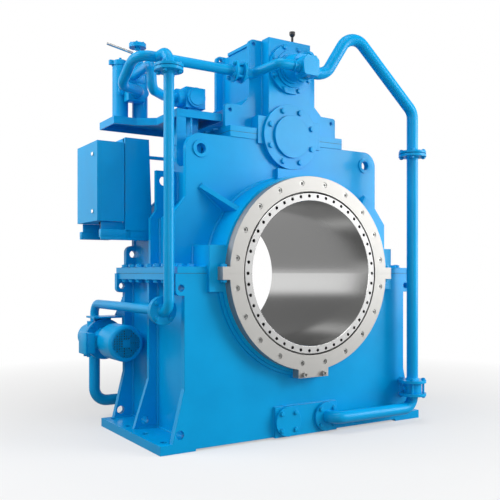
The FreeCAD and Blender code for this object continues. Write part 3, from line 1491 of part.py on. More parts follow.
def standby_suction_pipe():
    """Suction pipe of the standby pump, down and behind the casing to the sump."""
    start = V(motor_x, standby_y, standby_port_z[0])
    corner = V(motor_x, standby_y, standby_suction_z)
    turn = V(standby_suction_x, standby_y, standby_suction_z)
    end = V(standby_suction_x, casing_rear + 12, standby_suction_z)
    flange = pipe_flange(end, -Y_DIR, large_flange, large_pcd, large_od / 2)
    pad = cyl_y(standby_suction_x, standby_suction_z, 70, casing_rear, casing_rear + 12)
    return pipe([start, corner, turn, end], [95.0, 95.0], large_od, [flange, pad])


NODES = {
    "lower_casing": lower_casing,
    "middle_casing": middle_casing,
    "top_casing": top_casing,
    "tower_cover": tower_cover,
    "breather": breather,
    "cover_ring_upper": lambda: cover_ring(1),
    "cover_ring_lower": lambda: cover_ring(-1),
    "rear_cover_halves": rear_cover_halves,
    "ring_screws": ring_screws,
    "joint_bolts": joint_bolts,
    "hollow_shaft": hollow_shaft,
    "main_wheel": main_wheel,
    "main_bearings": main_bearings,
    "intermediate_shaft": intermediate_shaft,
    "intermediate_wheel": intermediate_wheel,
    "intermediate_bearings": intermediate_bearings,
    "intermediate_cover_front": intermediate_cover_front,
    "intermediate_cover_rear": intermediate_cover_rear,
    "cover_screws": cover_screws,
    "output_shaft": output_shaft,
    "output_bearings": output_bearings,
    "output_cover_front": output_cover_front,
    "output_cover_rear": output_cover_rear,
    "pump_adapter": pump_adapter,
    "pump_body": pump_body,
    "pump_cover": pump_cover,
    "pump_drive_gear": pump_drive_gear,
    "pump_idler_gear": pump_idler_gear,
    "pressure_pipe": pressure_pipe,
    "check_valve": check_valve,
    "manifold_pipe": manifold_pipe,
    "riser_pipe": riser_pipe,
    "suction_pipe_upper": suction_pipe_upper,
    "suction_pipe_middle": suction_pipe_middle,
    "suction_pipe_lower": suction_pipe_lower,
    "suction_valve": suction_valve,
    "blind_flange": blind_flange,
    "pipe_flange_bolts": pipe_flange_bolts,
    "filter_bowls": filter_bowls,
    "filter_caps": filter_caps,
    "filter_head": filter_head,
    "filter_lever": filter_lever,
    "cross_pipe": cross_pipe,
    "thermostat_valve": thermostat_valve,
    "thermostat_cover": thermostat_cover,
    "platform": platform,
    "cabinet_bracket": cabinet_bracket,
    "cabinet_box": cabinet_box,
    "cabinet_door": cabinet_door,
    "cabinet_lock_lower": lambda: cabinet_lock(lock_z[0]),
    "cabinet_lock_upper": lambda: cabinet_lock(lock_z[1]),
    "cable_glands": cable_glands,
    "standby_motor": standby_motor,
    "fan_cowl": fan_cowl,
    "standby_rotor": standby_rotor,
    "terminal_box": terminal_box,
    "standby_pump": standby_pump,
    "standby_console": standby_console,
    "standby_discharge_pipe": standby_discharge_pipe,
    "standby_suction_pipe": standby_suction_pipe,
}

os.makedirs("parts", exist_ok=True)
for node, build in NODES.items():
    shape = build()
    shape.exportStep(f"parts/{node}.step")
    print(node, len(shape.Solids), shape.isValid(), round(shape.Volume / 1e6, 3))
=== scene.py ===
# %% [markdown]
# # A marine gearbox, painted and finished
#
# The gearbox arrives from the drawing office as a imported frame: every casing, pipe, gear and screw is there
# at its true size, in metres, with +Z up and the hollow shaft's axis along Y. This notebook never moves those
# pieces. It gives them paint, steel and rubber, shows the bolts, pipes, pump, filter head and standby set in a
# fuller form, adds weld beads, gaskets and other things that a drawing leaves out, and sets up a plain studio.

# %% Load the frame
import json
import math

import bmesh
import bpy
from mathutils import Matrix, Vector


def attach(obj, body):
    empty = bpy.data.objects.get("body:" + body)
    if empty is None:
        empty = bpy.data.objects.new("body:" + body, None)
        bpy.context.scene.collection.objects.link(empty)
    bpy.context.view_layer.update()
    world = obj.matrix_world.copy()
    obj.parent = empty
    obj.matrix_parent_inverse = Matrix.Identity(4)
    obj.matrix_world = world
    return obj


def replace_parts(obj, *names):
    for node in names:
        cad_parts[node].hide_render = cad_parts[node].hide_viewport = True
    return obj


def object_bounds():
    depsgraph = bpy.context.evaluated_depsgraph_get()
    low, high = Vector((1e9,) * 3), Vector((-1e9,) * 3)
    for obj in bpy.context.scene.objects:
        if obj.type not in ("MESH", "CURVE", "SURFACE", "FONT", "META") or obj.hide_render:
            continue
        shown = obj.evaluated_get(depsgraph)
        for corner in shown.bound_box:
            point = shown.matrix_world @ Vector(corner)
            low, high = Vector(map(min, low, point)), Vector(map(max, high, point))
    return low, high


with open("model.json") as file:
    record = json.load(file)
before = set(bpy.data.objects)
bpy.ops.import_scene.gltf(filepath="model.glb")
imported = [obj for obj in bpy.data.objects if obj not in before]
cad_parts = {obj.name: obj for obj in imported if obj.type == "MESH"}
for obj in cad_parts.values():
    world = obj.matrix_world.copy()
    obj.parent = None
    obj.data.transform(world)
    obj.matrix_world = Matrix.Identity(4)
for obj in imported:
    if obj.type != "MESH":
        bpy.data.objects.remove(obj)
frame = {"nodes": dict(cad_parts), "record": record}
cad_low, cad_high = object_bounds()
nodes = frame["nodes"]
print("size:", [round(high - low, 3) for low, high in zip(cad_low, cad_high)])

# %% [markdown]
# ## Camera
#
# The picture was taken from the left front, at the height of the shaft's axis, which is why the round opening
# looks nearly round and every upright stays upright. A level camera keeps verticals parallel, and a small lens
# shift puts the gearbox into the middle of the frame instead of tilting the camera.

# %% Place the camera
CAMERA_PLACE = Vector((-2.6616, -3.5791, 0.0))
CAMERA_TURN = math.radians(-32.17)
CAMERA_LENS = 50.66
CAMERA_SHIFT = 0.0466

camera_data = bpy.data.cameras.new("camera")
camera_data.lens = CAMERA_LENS
camera_data.sensor_width = 36.0
camera_data.shift_y = CAMERA_SHIFT
camera_data.clip_end = 100.0
camera = bpy.data.objects.new("camera", camera_data)
camera.location = CAMERA_PLACE
camera.rotation_euler = (math.radians(90), 0.0, CAMERA_TURN)
bpy.context.scene.collection.objects.link(camera)
bpy.context.scene.camera = camera
bpy.context.scene.view_settings.view_transform = "Standard"
print("camera stands", round(CAMERA_PLACE.length, 2), "m from the shaft's face")

# %% [markdown]
# ## Studio
#
# A white sweep with soft lamps is the plainest way to show a painted machine: the floor catches the shadow,
# the world fills the dark sides, and large lamps give long, quiet highlights on the enamel. The floor fades
# into white away from the gearbox, so that no horizon line shows.

# %% A helper for node materials
def new_material(name):
    """An empty node material, with its node tree and output."""
    made = bpy.data.materials.new(name)
    made.use_nodes = True
    tree = made.node_tree
    tree.nodes.clear()
    output = tree.nodes.new("ShaderNodeOutputMaterial")
    return made, tree, output


def add_node(tree, kind, **values):
    """A node of one kind; each value is a property, or an input where it names one."""
    made = tree.nodes.new(kind)
    for key, value in values.items():
        if hasattr(made, key):
            setattr(made, key, value)
        else:
            made.inputs[key.replace("_", " ")].default_value = value
    return made


# %% [markdown]
# ### The white surroundings
# A painted machine needs an even fill, and bare steel needs something to mirror. One world can give both, since
# the Light Path node tells a camera ray from a mirrored one: the camera sees plain white, paint gets a quiet
# fill, and steel mirrors a dim room with one bright band near the horizon, which draws the streak in the bore.

# %% World
WORLD_FILL = 0.26
SKY_GLOSS = 0.2
BAND_GLOSS = 1.15
BAND_LOW, BAND_HIGH = -0.02, 0.30
BAND_BLUR = 0.09

world = bpy.data.worlds.new("studio")
bpy.context.scene.world = world
world.use_nodes = True
sky = world.node_tree
sky.nodes.clear()
sky_out = sky.nodes.new("ShaderNodeOutputWorld")
white_sky = add_node(sky, "ShaderNodeBackground", Color=(1, 1, 1, 1), Strength=1.0)
fill_sky = add_node(sky, "ShaderNodeBackground", Color=(1, 1, 1, 1), Strength=WORLD_FILL)
wall_sky = add_node(sky, "ShaderNodeBackground", Color=(1, 1, 1, 1))
direction = sky.nodes.new("ShaderNodeTexCoord")
height = sky.nodes.new("ShaderNodeSeparateXYZ")
wall_ramp = sky.nodes.new("ShaderNodeValToRGB")
ramp_stops = wall_ramp.color_ramp.elements
ramp_stops[0].position = 0.5 + (BAND_LOW - BAND_BLUR) / 2
ramp_stops[1].position = 0.5 + (BAND_HIGH + BAND_BLUR) / 2
for stop in ramp_stops:
    stop.color = (SKY_GLOSS, SKY_GLOSS, SKY_GLOSS, 1)
for edge in (BAND_LOW, BAND_HIGH):
    ramp_stops.new(0.5 + edge / 2).color = (BAND_GLOSS, BAND_GLOSS, BAND_GLOSS, 1)
half = add_node(sky, "ShaderNodeMapRange")
half.inputs["From Min"].default_value = -1.0
ray = sky.nodes.new("ShaderNodeLightPath")
mirrored = add_node(sky, "ShaderNodeMath", operation="MAXIMUM")
gloss_mix = sky.nodes.new("ShaderNodeMixShader")
camera_mix = sky.nodes.new("ShaderNodeMixShader")
sky.links.new(direction.outputs["Generated"], height.inputs[0])
sky.links.new(height.outputs["Z"], half.inputs["Value"])
sky.links.new(half.outputs["Result"], wall_ramp.inputs["Fac"])
sky.links.new(wall_ramp.outputs["Color"], wall_sky.inputs["Color"])
sky.links.new(ray.outputs["Is Glossy Ray"], mirrored.inputs[0])
sky.links.new(ray.outputs["Is Transmission Ray"], mirrored.inputs[1])
sky.links.new(mirrored.outputs[0], gloss_mix.inputs[0])
sky.links.new(fill_sky.outputs[0], gloss_mix.inputs[1])
sky.links.new(wall_sky.outputs[0], gloss_mix.inputs[2])
sky.links.new(ray.outputs["Is Camera Ray"], camera_mix.inputs[0])
sky.links.new(gloss_mix.outputs[0], camera_mix.inputs[1])
sky.links.new(white_sky.outputs[0], camera_mix.inputs[2])
sky.links.new(camera_mix.outputs[0], sky_out.inputs["Surface"])
print("world fill:", WORLD_FILL)

# %% [markdown]
# ### The floor
# The floor is one large grid that takes a soft shadow. Far from the gearbox it glows as white as the world, so
# that no edge shows. Mirrored rays and bounced light meet a darker floor, or it would wash out the paint.

# %% Floor
FLOOR_SIZE = 40.0
FLOOR_CENTRE = (0.0, 0.45, cad_low.z)
FLOOR_NEAR = 1.6
FLOOR_FAR = 4.2
FLOOR_SHADE = 0.42
FLOOR_LIFT = 0.46
FLOOR_GLOSS = 0.4
FLOOR_BOUNCE = 0.34

floor_paint, tree, output = new_material("studio_floor")
place = tree.nodes.new("ShaderNodeTexCoord")
reach = add_node(tree, "ShaderNodeVectorMath", operation="LENGTH")
fade = add_node(tree, "ShaderNodeMapRange", clamp=True)
fade.inputs["From Min"].default_value = FLOOR_NEAR
fade.inputs["From Max"].default_value = FLOOR_FAR
matt = add_node(tree, "ShaderNodeBsdfDiffuse", Color=(FLOOR_BOUNCE, FLOOR_BOUNCE, FLOOR_BOUNCE, 1))
shade = add_node(tree, "ShaderNodeBsdfDiffuse", Color=(FLOOR_SHADE, FLOOR_SHADE, FLOOR_SHADE, 1))
lift = add_node(tree, "ShaderNodeEmission", Color=(1, 1, 1, 1), Strength=FLOOR_LIFT)
lifted = tree.nodes.new("ShaderNodeAddShader")
glow = add_node(tree, "ShaderNodeEmission", Color=(1, 1, 1, 1), Strength=1.0)
seen = tree.nodes.new("ShaderNodeMixShader")
dim = add_node(tree, "ShaderNodeEmission", Color=(1, 1, 1, 1), Strength=FLOOR_GLOSS)
ray = tree.nodes.new("ShaderNodeLightPath")
camera_floor = tree.nodes.new("ShaderNodeMixShader")
gloss_floor = tree.nodes.new("ShaderNodeMixShader")
tree.links.new(place.outputs["Object"], reach.inputs[0])
tree.links.new(reach.outputs["Value"], fade.inputs["Value"])
tree.links.new(shade.outputs[0], lifted.inputs[0])
tree.links.new(lift.outputs[0], lifted.inputs[1])
tree.links.new(fade.outputs["Result"], seen.inputs[0])
tree.links.new(lifted.outputs[0], seen.inputs[1])
tree.links.new(glow.outputs[0], seen.inputs[2])
tree.links.new(ray.outputs["Is Camera Ray"], camera_floor.inputs[0])
tree.links.new(matt.outputs[0], camera_floor.inputs[1])
tree.links.new(seen.outputs[0], camera_floor.inputs[2])
tree.links.new(ray.outputs["Is Glossy Ray"], gloss_floor.inputs[0])
tree.links.new(camera_floor.outputs[0], gloss_floor.inputs[1])
tree.links.new(dim.outputs[0], gloss_floor.inputs[2])
tree.links.new(gloss_floor.outputs[0], output.inputs["Surface"])

floor_bm = bmesh.new()
bmesh.ops.create_grid(floor_bm, x_segments=1, y_segments=1, size=FLOOR_SIZE / 2)
floor_mesh = bpy.data.meshes.new("floor")
floor_bm.to_mesh(floor_mesh)
floor_bm.free()
floor_mesh.materials.append(floor_paint)
floor = bpy.data.objects.new("floor", floor_mesh)
floor.location = FLOOR_CENTRE
bpy.context.scene.collection.objects.link(floor)
print("floor at z =", round(cad_low.z, 3))

# %% [markdown]
# ### Lamps
# Large square lamps give soft shadows and long highlights. The strongest stands on the right, low, because the
# real one was lit so: its light dies away towards the top left. The others open the shadows.

# %% Lamps
def soft_lamp(name, place, target, size, power):
    """A large square lamp that looks at a point."""
    data = bpy.data.lights.new(name, "AREA")
    data.shape = "SQUARE"
    data.size = size
    data.energy = power
    lamp = bpy.data.objects.new(name, data)
    lamp.location = place
    lamp.rotation_euler = (Vector(target) - Vector(place)).to_track_quat("-Z", "Y").to_euler()
    bpy.context.scene.collection.objects.link(lamp)
    return lamp


HEART = (0.0, 0.3, 0.2)
soft_lamp("key_right", (5.4, -3.6, 0.9), HEART, 3.0, 240)
soft_lamp("cover_light", (3.1, -3.7, 2.1), (0.0, 0.2, 0.9), 1.6, 80)
soft_lamp("key_left", (-3.8, 1.4, 2.6), (-0.6, 0.6, 0.4), 3.0, 120)
soft_lamp("front_left", (-3.0, -4.8, 1.0), (-0.9, 0.5, 0.3), 2.5, 50)
soft_lamp("top", (-0.6, -1.5, 5.2), HEART, 3.5, 110)

# %% [markdown]
# ## Finishes
#
# ### Gloss enamel
# The casing, pipes and brackets share one coat of bright blue enamel. Real enamel isn't one flat colour: it
# is a little deeper where it is thick, has the fine waviness of sprayed paint, and its edges are rounded by
# the film. The waviness comes from a bump node, and a Bevel node rounds the shading at each sharp edge.

# %% Blue enamel
BLUE = (0.0, 0.39, 0.80, 1)
BLUE_DEEP = (0.0, 0.35, 0.74, 1)


def enamel(name, colour, deep, roughness=0.3, edge=0.004):
    """Sprayed gloss enamel over steel, with a soft cloudiness, a fine waviness and rounded edges."""
    made, tree, output = new_material(name)
    coords = tree.nodes.new("ShaderNodeTexCoord")
    cloud = add_node(tree, "ShaderNodeTexNoise", Scale=3.2, Detail=4.0, Roughness=0.55)
    ramp = tree.nodes.new("ShaderNodeValToRGB")
    ramp.color_ramp.elements[0].position = 0.35
    ramp.color_ramp.elements[0].color = deep
    ramp.color_ramp.elements[1].position = 0.65
    ramp.color_ramp.elements[1].color = colour
    wave = add_node(tree, "ShaderNodeTexNoise", Scale=95.0, Detail=2.0)
    bump = add_node(tree, "ShaderNodeBump", Strength=0.05, Distance=0.002)
    rounded = add_node(tree, "ShaderNodeBevel", samples=4, Radius=edge)
    gloss = add_node(tree, "ShaderNodeMapRange")
    gloss.inputs["To Min"].default_value = roughness - 0.05
    gloss.inputs["To Max"].default_value = roughness + 0.08
    shader = add_node(tree, "ShaderNodeBsdfPrincipled")
    shader.inputs["Specular IOR Level"].default_value = 0.14
    shader.inputs["Coat Weight"].default_value = 0.06
    shader.inputs["Coat Roughness"].default_value = 0.12
    for source in (cloud, wave):
        tree.links.new(coords.outputs["Object"], source.inputs["Vector"])
    tree.links.new(cloud.outputs["Fac"], ramp.inputs["Fac"])
    tree.links.new(cloud.outputs["Fac"], gloss.inputs["Value"])
    tree.links.new(ramp.outputs["Color"], shader.inputs["Base Color"])
    tree.links.new(gloss.outputs["Result"], shader.inputs["Roughness"])
    tree.links.new(rounded.outputs["Normal"], bump.inputs["Normal"])
    tree.links.new(wave.outputs["Fac"], bump.inputs["Height"])
    tree.links.new(bump.outputs["Normal"], shader.inputs["Normal"])
    tree.links.new(shader.outputs[0], output.inputs["Surface"])
    return made


blue_enamel = enamel("blue_enamel", BLUE, BLUE_DEEP)
cabinet_enamel = enamel("cabinet_enamel", BLUE, BLUE_DEEP, 0.36, 0.003)
print("enamels made")

# %% [markdown]
# ### Turned and brushed steel
# The cover ring is turned on a lathe and then brushed, so its fine lines run round the axis. The bore's lines
# run round it too. Both patterns are the same noise, stretched along the direction of the tool: the distance
# from the shaft's axis decides the shade on a face, and the distance along the axis decides it in a bore.

# %% Steel
def steel(name, colour, roughness, lines, metallic=1.0, contrast=0.12, along_axis=False, face_paler=0.0,
          face_rougher=0.0):
    """Bare steel with tool lines round the Y axis; the faces across that axis can be paler and rougher."""
    made, tree, output = new_material(name)
    coords = tree.nodes.new("ShaderNodeTexCoord")
    apart = tree.nodes.new("ShaderNodeSeparateXYZ")
    radius = tree.nodes.new("ShaderNodeCombineXYZ")
    reach = add_node(tree, "ShaderNodeVectorMath", operation="LENGTH")
    across = tree.nodes.new("ShaderNodeCombineXYZ")
    grain = add_node(tree, "ShaderNodeTexNoise", Scale=1.0, Detail=3.0, Roughness=0.7)
    tone = add_node(tree, "ShaderNodeMapRange")
    tone.inputs["To Min"].default_value = 1.0 - contrast
    tone.inputs["To Max"].default_value = 1.0
    scaled = add_node(tree, "ShaderNodeVectorMath", operation="SCALE")
    scaled.inputs["Vector"].default_value = colour[:3]
    rough = add_node(tree, "ShaderNodeMapRange")
    rough.inputs["To Min"].default_value = roughness * 0.8
    rough.inputs["To Max"].default_value = roughness * 1.25
    bump = add_node(tree, "ShaderNodeBump", Strength=0.08, Distance=0.001)
    rounded = add_node(tree, "ShaderNodeBevel", samples=4, Radius=0.0025)
    wide = add_node(tree, "ShaderNodeMath", operation="MULTIPLY")
    wide.inputs[1].default_value = lines
    deep = add_node(tree, "ShaderNodeMath", operation="MULTIPLY")
    deep.inputs[1].default_value = lines if along_axis else lines * 0.1
    shader = add_node(tree, "ShaderNodeBsdfPrincipled", Metallic=metallic)
    facing = tree.nodes.new("ShaderNodeSeparateXYZ")
    across_axis = add_node(tree, "ShaderNodeMath", operation="ABSOLUTE")
    on_face = add_node(tree, "ShaderNodeMath", operation="GREATER_THAN")
    on_face.inputs[1].default_value = 0.8
    paler = add_node(tree, "ShaderNodeMath", operation="MULTIPLY_ADD")
    paler.inputs[1].default_value = face_paler
    paler.inputs[2].default_value = 1.0
    toned = add_node(tree, "ShaderNodeMath", operation="MULTIPLY")
    rougher = add_node(tree, "ShaderNodeMath", operation="MULTIPLY_ADD")
    rougher.inputs[1].default_value = face_rougher
    tree.links.new(coords.outputs["Normal"], facing.inputs[0])
    tree.links.new(facing.outputs["Y"], across_axis.inputs[0])
    tree.links.new(across_axis.outputs[0], on_face.inputs[0])
    tree.links.new(on_face.outputs[0], paler.inputs[0])
    tree.links.new(on_face.outputs[0], rougher.inputs[0])
    tree.links.new(coords.outputs["Object"], apart.inputs[0])
    tree.links.new(apart.outputs["X"], radius.inputs["X"])
    tree.links.new(apart.outputs["Z"], radius.inputs["Z"])
    tree.links.new(radius.outputs[0], reach.inputs[0])
    tree.links.new(reach.outputs["Value"], wide.inputs[0])
    tree.links.new(apart.outputs["Y"], deep.inputs[0])
    tree.links.new(wide.outputs[0], across.inputs["X"])
    tree.links.new(deep.outputs[0], across.inputs["Y"])
    tree.links.new(across.outputs[0], grain.inputs["Vector"])
    tree.links.new(grain.outputs["Fac"], tone.inputs["Value"])
    tree.links.new(grain.outputs["Fac"], rough.inputs["Value"])
    tree.links.new(tone.outputs["Result"], toned.inputs[0])
    tree.links.new(paler.outputs[0], toned.inputs[1])
    tree.links.new(toned.outputs[0], scaled.inputs["Scale"])
    tree.links.new(scaled.outputs[0], shader.inputs["Base Color"])
    tree.links.new(rough.outputs["Result"], rougher.inputs[2])
    tree.links.new(rougher.outputs[0], shader.inputs["Roughness"])
    tree.links.new(grain.outputs["Fac"], bump.inputs["Height"])
    tree.links.new(rounded.outputs["Normal"], bump.inputs["Normal"])
    tree.links.new(bump.outputs["Normal"], shader.inputs["Normal"])
    tree.links.new(shader.outputs[0], output.inputs["Surface"])
    return made


ring_steel = steel("ring_steel", (0.44, 0.435, 0.42), 0.54, 420.0, 0.85, 0.25)
shaft_steel = steel("shaft_steel", (0.66, 0.66, 0.655), 0.2, 300.0, 1.0, 0.3, True, -0.3, 0.34)
screw_steel = steel("screw_steel", (0.42, 0.42, 0.41), 0.35, 300.0)
gear_steel = steel("gear_steel", (0.50, 0.51, 0.53), 0.34, 260.0, 1.0, 0.15, True)
bearing_metal = steel("bearing_metal", (0.70, 0.66, 0.56), 0.35, 300.0, 1.0, 0.15, True)
bright_steel = steel("bright_steel", (0.72, 0.72, 0.72), 0.2, 200.0, 1.0, 0.1, True)
print("steels made")

# %% [markdown]
# ### Dark parts
# The breather, the fan inside the motor's cowl, the cable glands and the gaskets are nearly black, but not flat:
# a fine mottling in the tone and a shallow bump keep them from looking like holes.

# %% Dark parts
def dull(name, colour, roughness, metallic=0.0, grain=160.0):
    """Blackened steel, rubber or moulded plastic: a dark, finely mottled surface."""
    made, tree, output = new_material(name)
    coords = tree.nodes.new("ShaderNodeTexCoord")
    mottle = add_node(tree, "ShaderNodeTexNoise", Scale=grain, Detail=3.0)
    tone = add_node(tree, "ShaderNodeMapRange")
    tone.inputs["To Min"].default_value = 0.75
    tone.inputs["To Max"].default_value = 1.25
    scaled = add_node(tree, "ShaderNodeVectorMath", operation="SCALE")
    scaled.inputs["Vector"].default_value = colour
    bump = add_node(tree, "ShaderNodeBump", Strength=0.15, Distance=0.0005)
    shader = add_node(tree, "ShaderNodeBsdfPrincipled", Metallic=metallic, Roughness=roughness)
    tree.links.new(coords.outputs["Object"], mottle.inputs["Vector"])
    tree.links.new(mottle.outputs["Fac"], tone.inputs["Value"])
    tree.links.new(tone.outputs["Result"], scaled.inputs["Scale"])
    tree.links.new(scaled.outputs[0], shader.inputs["Base Color"])
    tree.links.new(mottle.outputs["Fac"], bump.inputs["Height"])
    tree.links.new(bump.outputs["Normal"], shader.inputs["Normal"])
    tree.links.new(shader.outputs[0], output.inputs["Surface"])
    return made


black_oxide = dull("black_oxide", (0.05, 0.05, 0.052), 0.42, 0.7)
black_rubber = dull("black_rubber", (0.018, 0.018, 0.02), 0.55)
print("dark finishes made")

# %% [markdown]
# ### Which finish goes where
# The drawing's record names a material slot for each node, so a table from slot to finish paints all of them.
# Only the ring's screws leave the black finish of their slot: on the real ring they are bare grey steel.

# %% Finish of each CAD node
FINISH_OF_SLOT = {
    "blue_paint": blue_enamel,
    "brushed_ring": ring_steel,
    "shaft_steel": shaft_steel,
    "gear_steel": gear_steel,
    "bearing_metal": bearing_metal,
    "dark_steel": black_oxide,
    "cabinet_paint": cabinet_enamel,
    "black_plastic": black_rubber,
    "lever_steel": bright_steel,
}
slot_of_node = {row["node"]: row["material_slot"] for row in frame["record"]["subparts"]}
FINISH_OF_NODE = {"ring_screws": screw_steel}
for name, node in nodes.items():
    node.data.materials.clear()
    node.data.materials.append(FINISH_OF_NODE.get(name, FINISH_OF_SLOT[slot_of_node[name]]))
print("finishes on nodes:", len(slot_of_node))

# %% [markdown]
# ## Fasteners
# A real hexagon head isn't a plain prism: its corners are turned off by a chamfer, it sits on a washer, and the
# end of the stud shows above its nut. The drawing has each bolt at its place, so the notebook reads the places
# from the drawing's own solids and sets a finished bolt at each, which is surer than typing a hundred places.

# %% A helper that makes a piece
SHARP = math.radians(32)


def make_piece(name, shape, material, body="casing"):
    """A mesh object at the origin, made from a bmesh, that rides on a body."""
    bmesh.ops.recalc_face_normals(shape, faces=shape.faces)
    mesh = bpy.data.meshes.new(name)
    shape.to_mesh(mesh)
    shape.free()
    mesh.materials.append(material)
    mesh.shade_smooth()
    mesh.set_sharp_from_angle(angle=SHARP)
    piece = bpy.data.objects.new(name, mesh)
    bpy.context.scene.collection.objects.link(piece)
    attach(piece, body)
    print(name, len(mesh.polygons), "faces")
    return piece


# %% Find a node's separate solids
def separate_solids(node):
    """The corner points of each separate solid in a CAD node."""
    shape = bmesh.new()
    shape.from_mesh(nodes[node].data)
    bmesh.ops.remove_doubles(shape, verts=shape.verts, dist=1e-5)
    left = dict.fromkeys(shape.verts)
    solids = []
    while left:
        front = [left.popitem()[0]]
        points = []
        while front:
            point = front.pop()
            points.append(point.co.copy())
            for edge in point.link_edges:
                other = edge.other_vert(point)
                if other in left:
                    del left[other]
                    front.append(other)
        solids.append(points)
    shape.free()
    return solids


# %% The shape of a head
HEX_STRETCH = 2.6
CORNER_R = 1 / math.sqrt(3)
CHAMFER = 0.26
WASHER_R, WASHER_THICK = 0.66, 0.16


def head_shape():
    """A hexagon head of width 1 across its flats and height 1, with chamfered corners, on a washer."""
    shape = bmesh.new()
    bmesh.ops.create_cone(shape, cap_ends=True, segments=6, radius1=CORNER_R, radius2=CORNER_R, depth=HEX_STRETCH,
                          matrix=Matrix.Translation((0, 0, HEX_STRETCH / 2)))
    corners = [point for point in shape.verts if point.co.z > HEX_STRETCH / 2]
    bmesh.ops.bevel(shape, geom=corners, offset=CHAMFER, segments=1, profile=0.5, affect="VERTICES", material=-1)
    bmesh.ops.scale(shape, vec=(1, 1, 1 / HEX_STRETCH), verts=shape.verts)
    bmesh.ops.create_cone(shape, cap_ends=True, segments=28, radius1=WASHER_R, radius2=WASHER_R,
                          depth=WASHER_THICK, matrix=Matrix.Translation((0, 0, WASHER_THICK / 2)))
    mesh = bpy.data.meshes.new("head_shape")
    shape.to_mesh(mesh)
    shape.free()
    return mesh


HEAD = head_shape()


# %% Helpers that place a shape
X, Y, Z = Vector((1, 0, 0)), Vector((0, 1, 0)), Vector((0, 0, 1))
AXES = (X, Y, Z)


def add_shape(shape, mesh, placing):
    """Adds a mesh to a bmesh at a place."""
    moved = mesh.copy()
    moved.transform(placing)
    shape.from_mesh(moved)
    bpy.data.meshes.remove(moved)


def along(axis, sign, place):
    """The placing that turns +Z to an axis and moves it to a point."""
    turn = Z.rotation_difference(AXES[axis] * sign)
    return Matrix.Translation(place) @ turn.to_matrix().to_4x4()


def add_head(shape, axis, sign, place, width, height):
    """A hexagon head that stands on a point, with its width across the flats."""
    add_shape(shape, HEAD, along(axis, sign, place) @ Matrix.Diagonal((width, width, height, 1)))


def round_pattern(count, radius, across, up, start=0.0):
    """Places round a circle, in the plane of two directions."""
    angles = [math.radians(start + 360 / count * i) for i in range(count)]
    return [across * radius * math.cos(angle) + up * radius * math.sin(angle) for angle in angles]


# %% [markdown]
# ### A finished bolt at each place
# Seen along its own axis a bolt has only a few levels: its ends and the faces of its heads. So the axis is the
# direction with the fewest levels, and the levels that reach out to the hexagon's corners are the heads' faces.

# %% Read a plain bolt and set a finished one
SHANK_SHORTER = 0.0012


def add_bolt(shape, points):
    """A finished bolt in place of one plain one, whose corner points say where its heads are."""
    low = [min(point[i] for point in points) for i in range(3)]
    high = [max(point[i] for point in points) for i in range(3)]
    axis = min(range(3), key=lambda i: len({round(point[i], 5) for point in points}))
    middle = Vector([(low[i] + high[i]) / 2 for i in range(3)])
    wide = {}
    for point in points:
        reach = point - middle
        reach[axis] = 0.0
        wide.setdefault(round(point[axis], 5), []).append(reach.length)
    corner_r = max(max(radii) for radii in wide.values())
    levels = sorted(level for level, radii in wide.items() if max(radii) > 0.97 * corner_r)
    shank_r = min(max(radii) for radii in wide.values())
    bmesh.ops.create_cone(shape, cap_ends=True, segments=20, radius1=shank_r, radius2=shank_r,
                          depth=high[axis] - low[axis] - SHANK_SHORTER, matrix=along(axis, 1, middle))
    slabs = list(zip(levels[::2], levels[1::2]))
    for start, end in slabs:
        outward = 1 if (start + end) / 2 > middle[axis] else -1
        foot = middle.copy()
        foot[axis] = start if outward > 0 else end
        add_head(shape, axis, outward, foot, corner_r / CORNER_R, end - start)
    return len(slabs)


CHECK_VALVE = Vector((-0.36, 0.17, 1.256))
CHECK_REACH = 0.14


def at_check_valve(points):
    """Whether a bolt is one of the check valve's, which gets its own long tie bolts."""
    return (sum(points, Vector()) / len(points) - CHECK_VALVE).length < CHECK_REACH


for node in ("cover_screws", "joint_bolts", "pipe_flange_bolts"):
    bolts = bmesh.new()
    heads = sum(add_bolt(bolts, points) for points in separate_solids(node) if not at_check_valve(points))
    print(node, "heads:", heads)
    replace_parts(make_piece("finished_" + node, bolts, blue_enamel), node)

# %% [markdown]
# ## Pieces in their full form
# The drawing has these pieces in a plain form. On the real machine the pump is a bevelled block, long tie bolts
# hold the check valve, and the pipes swing in wide arcs to the filter. The next cells make them again, in their
# full form, from a few helpers: a block, a round bar or cone, a plate with an outline, a flange and a bent pipe.

# %% Helpers for machined forms
def add_block(shape, low, high, edge=0.002):
    """A block between two corners, with its edges taken off."""
    low, high = Vector(low), Vector(high)
    made = bmesh.ops.create_cube(shape, size=1.0, matrix=Matrix.Translation((low + high) / 2)
                                 @ Matrix.Diagonal((*(high - low), 1)))
    edges = list(dict.fromkeys(side for point in made["verts"] for side in point.link_edges))
    bmesh.ops.bevel(shape, geom=edges, offset=edge, segments=2, profile=0.5, affect="EDGES", material=-1)


def add_barrel(shape, start, end, radius, tip=None, segments=48):
    """A round bar, or a cone where tip is given, between two points."""
    start, end = Vector(start), Vector(end)
    turn = (end - start).to_track_quat("Z", "Y").to_matrix().to_4x4()
    bmesh.ops.create_cone(shape, cap_ends=True, segments=segments, radius1=radius,
                          radius2=radius if tip is None else tip, depth=(end - start).length,
                          matrix=Matrix.Translation((start + end) / 2) @ turn)


def add_plate(shape, outline, low, high):
    """A plate with an outline in X and Z, between two places along Y."""
    points = [shape.verts.new((x, low, z)) for x, z in outline]
    face = bmesh.ops.contextual_create(shape, geom=points)["faces"]
    grown = bmesh.ops.extrude_face_region(shape, geom=face)["geom"]
    moved = [item for item in grown if isinstance(item, bmesh.types.BMVert)]
    bmesh.ops.translate(shape, vec=(0, high - low, 0), verts=moved)


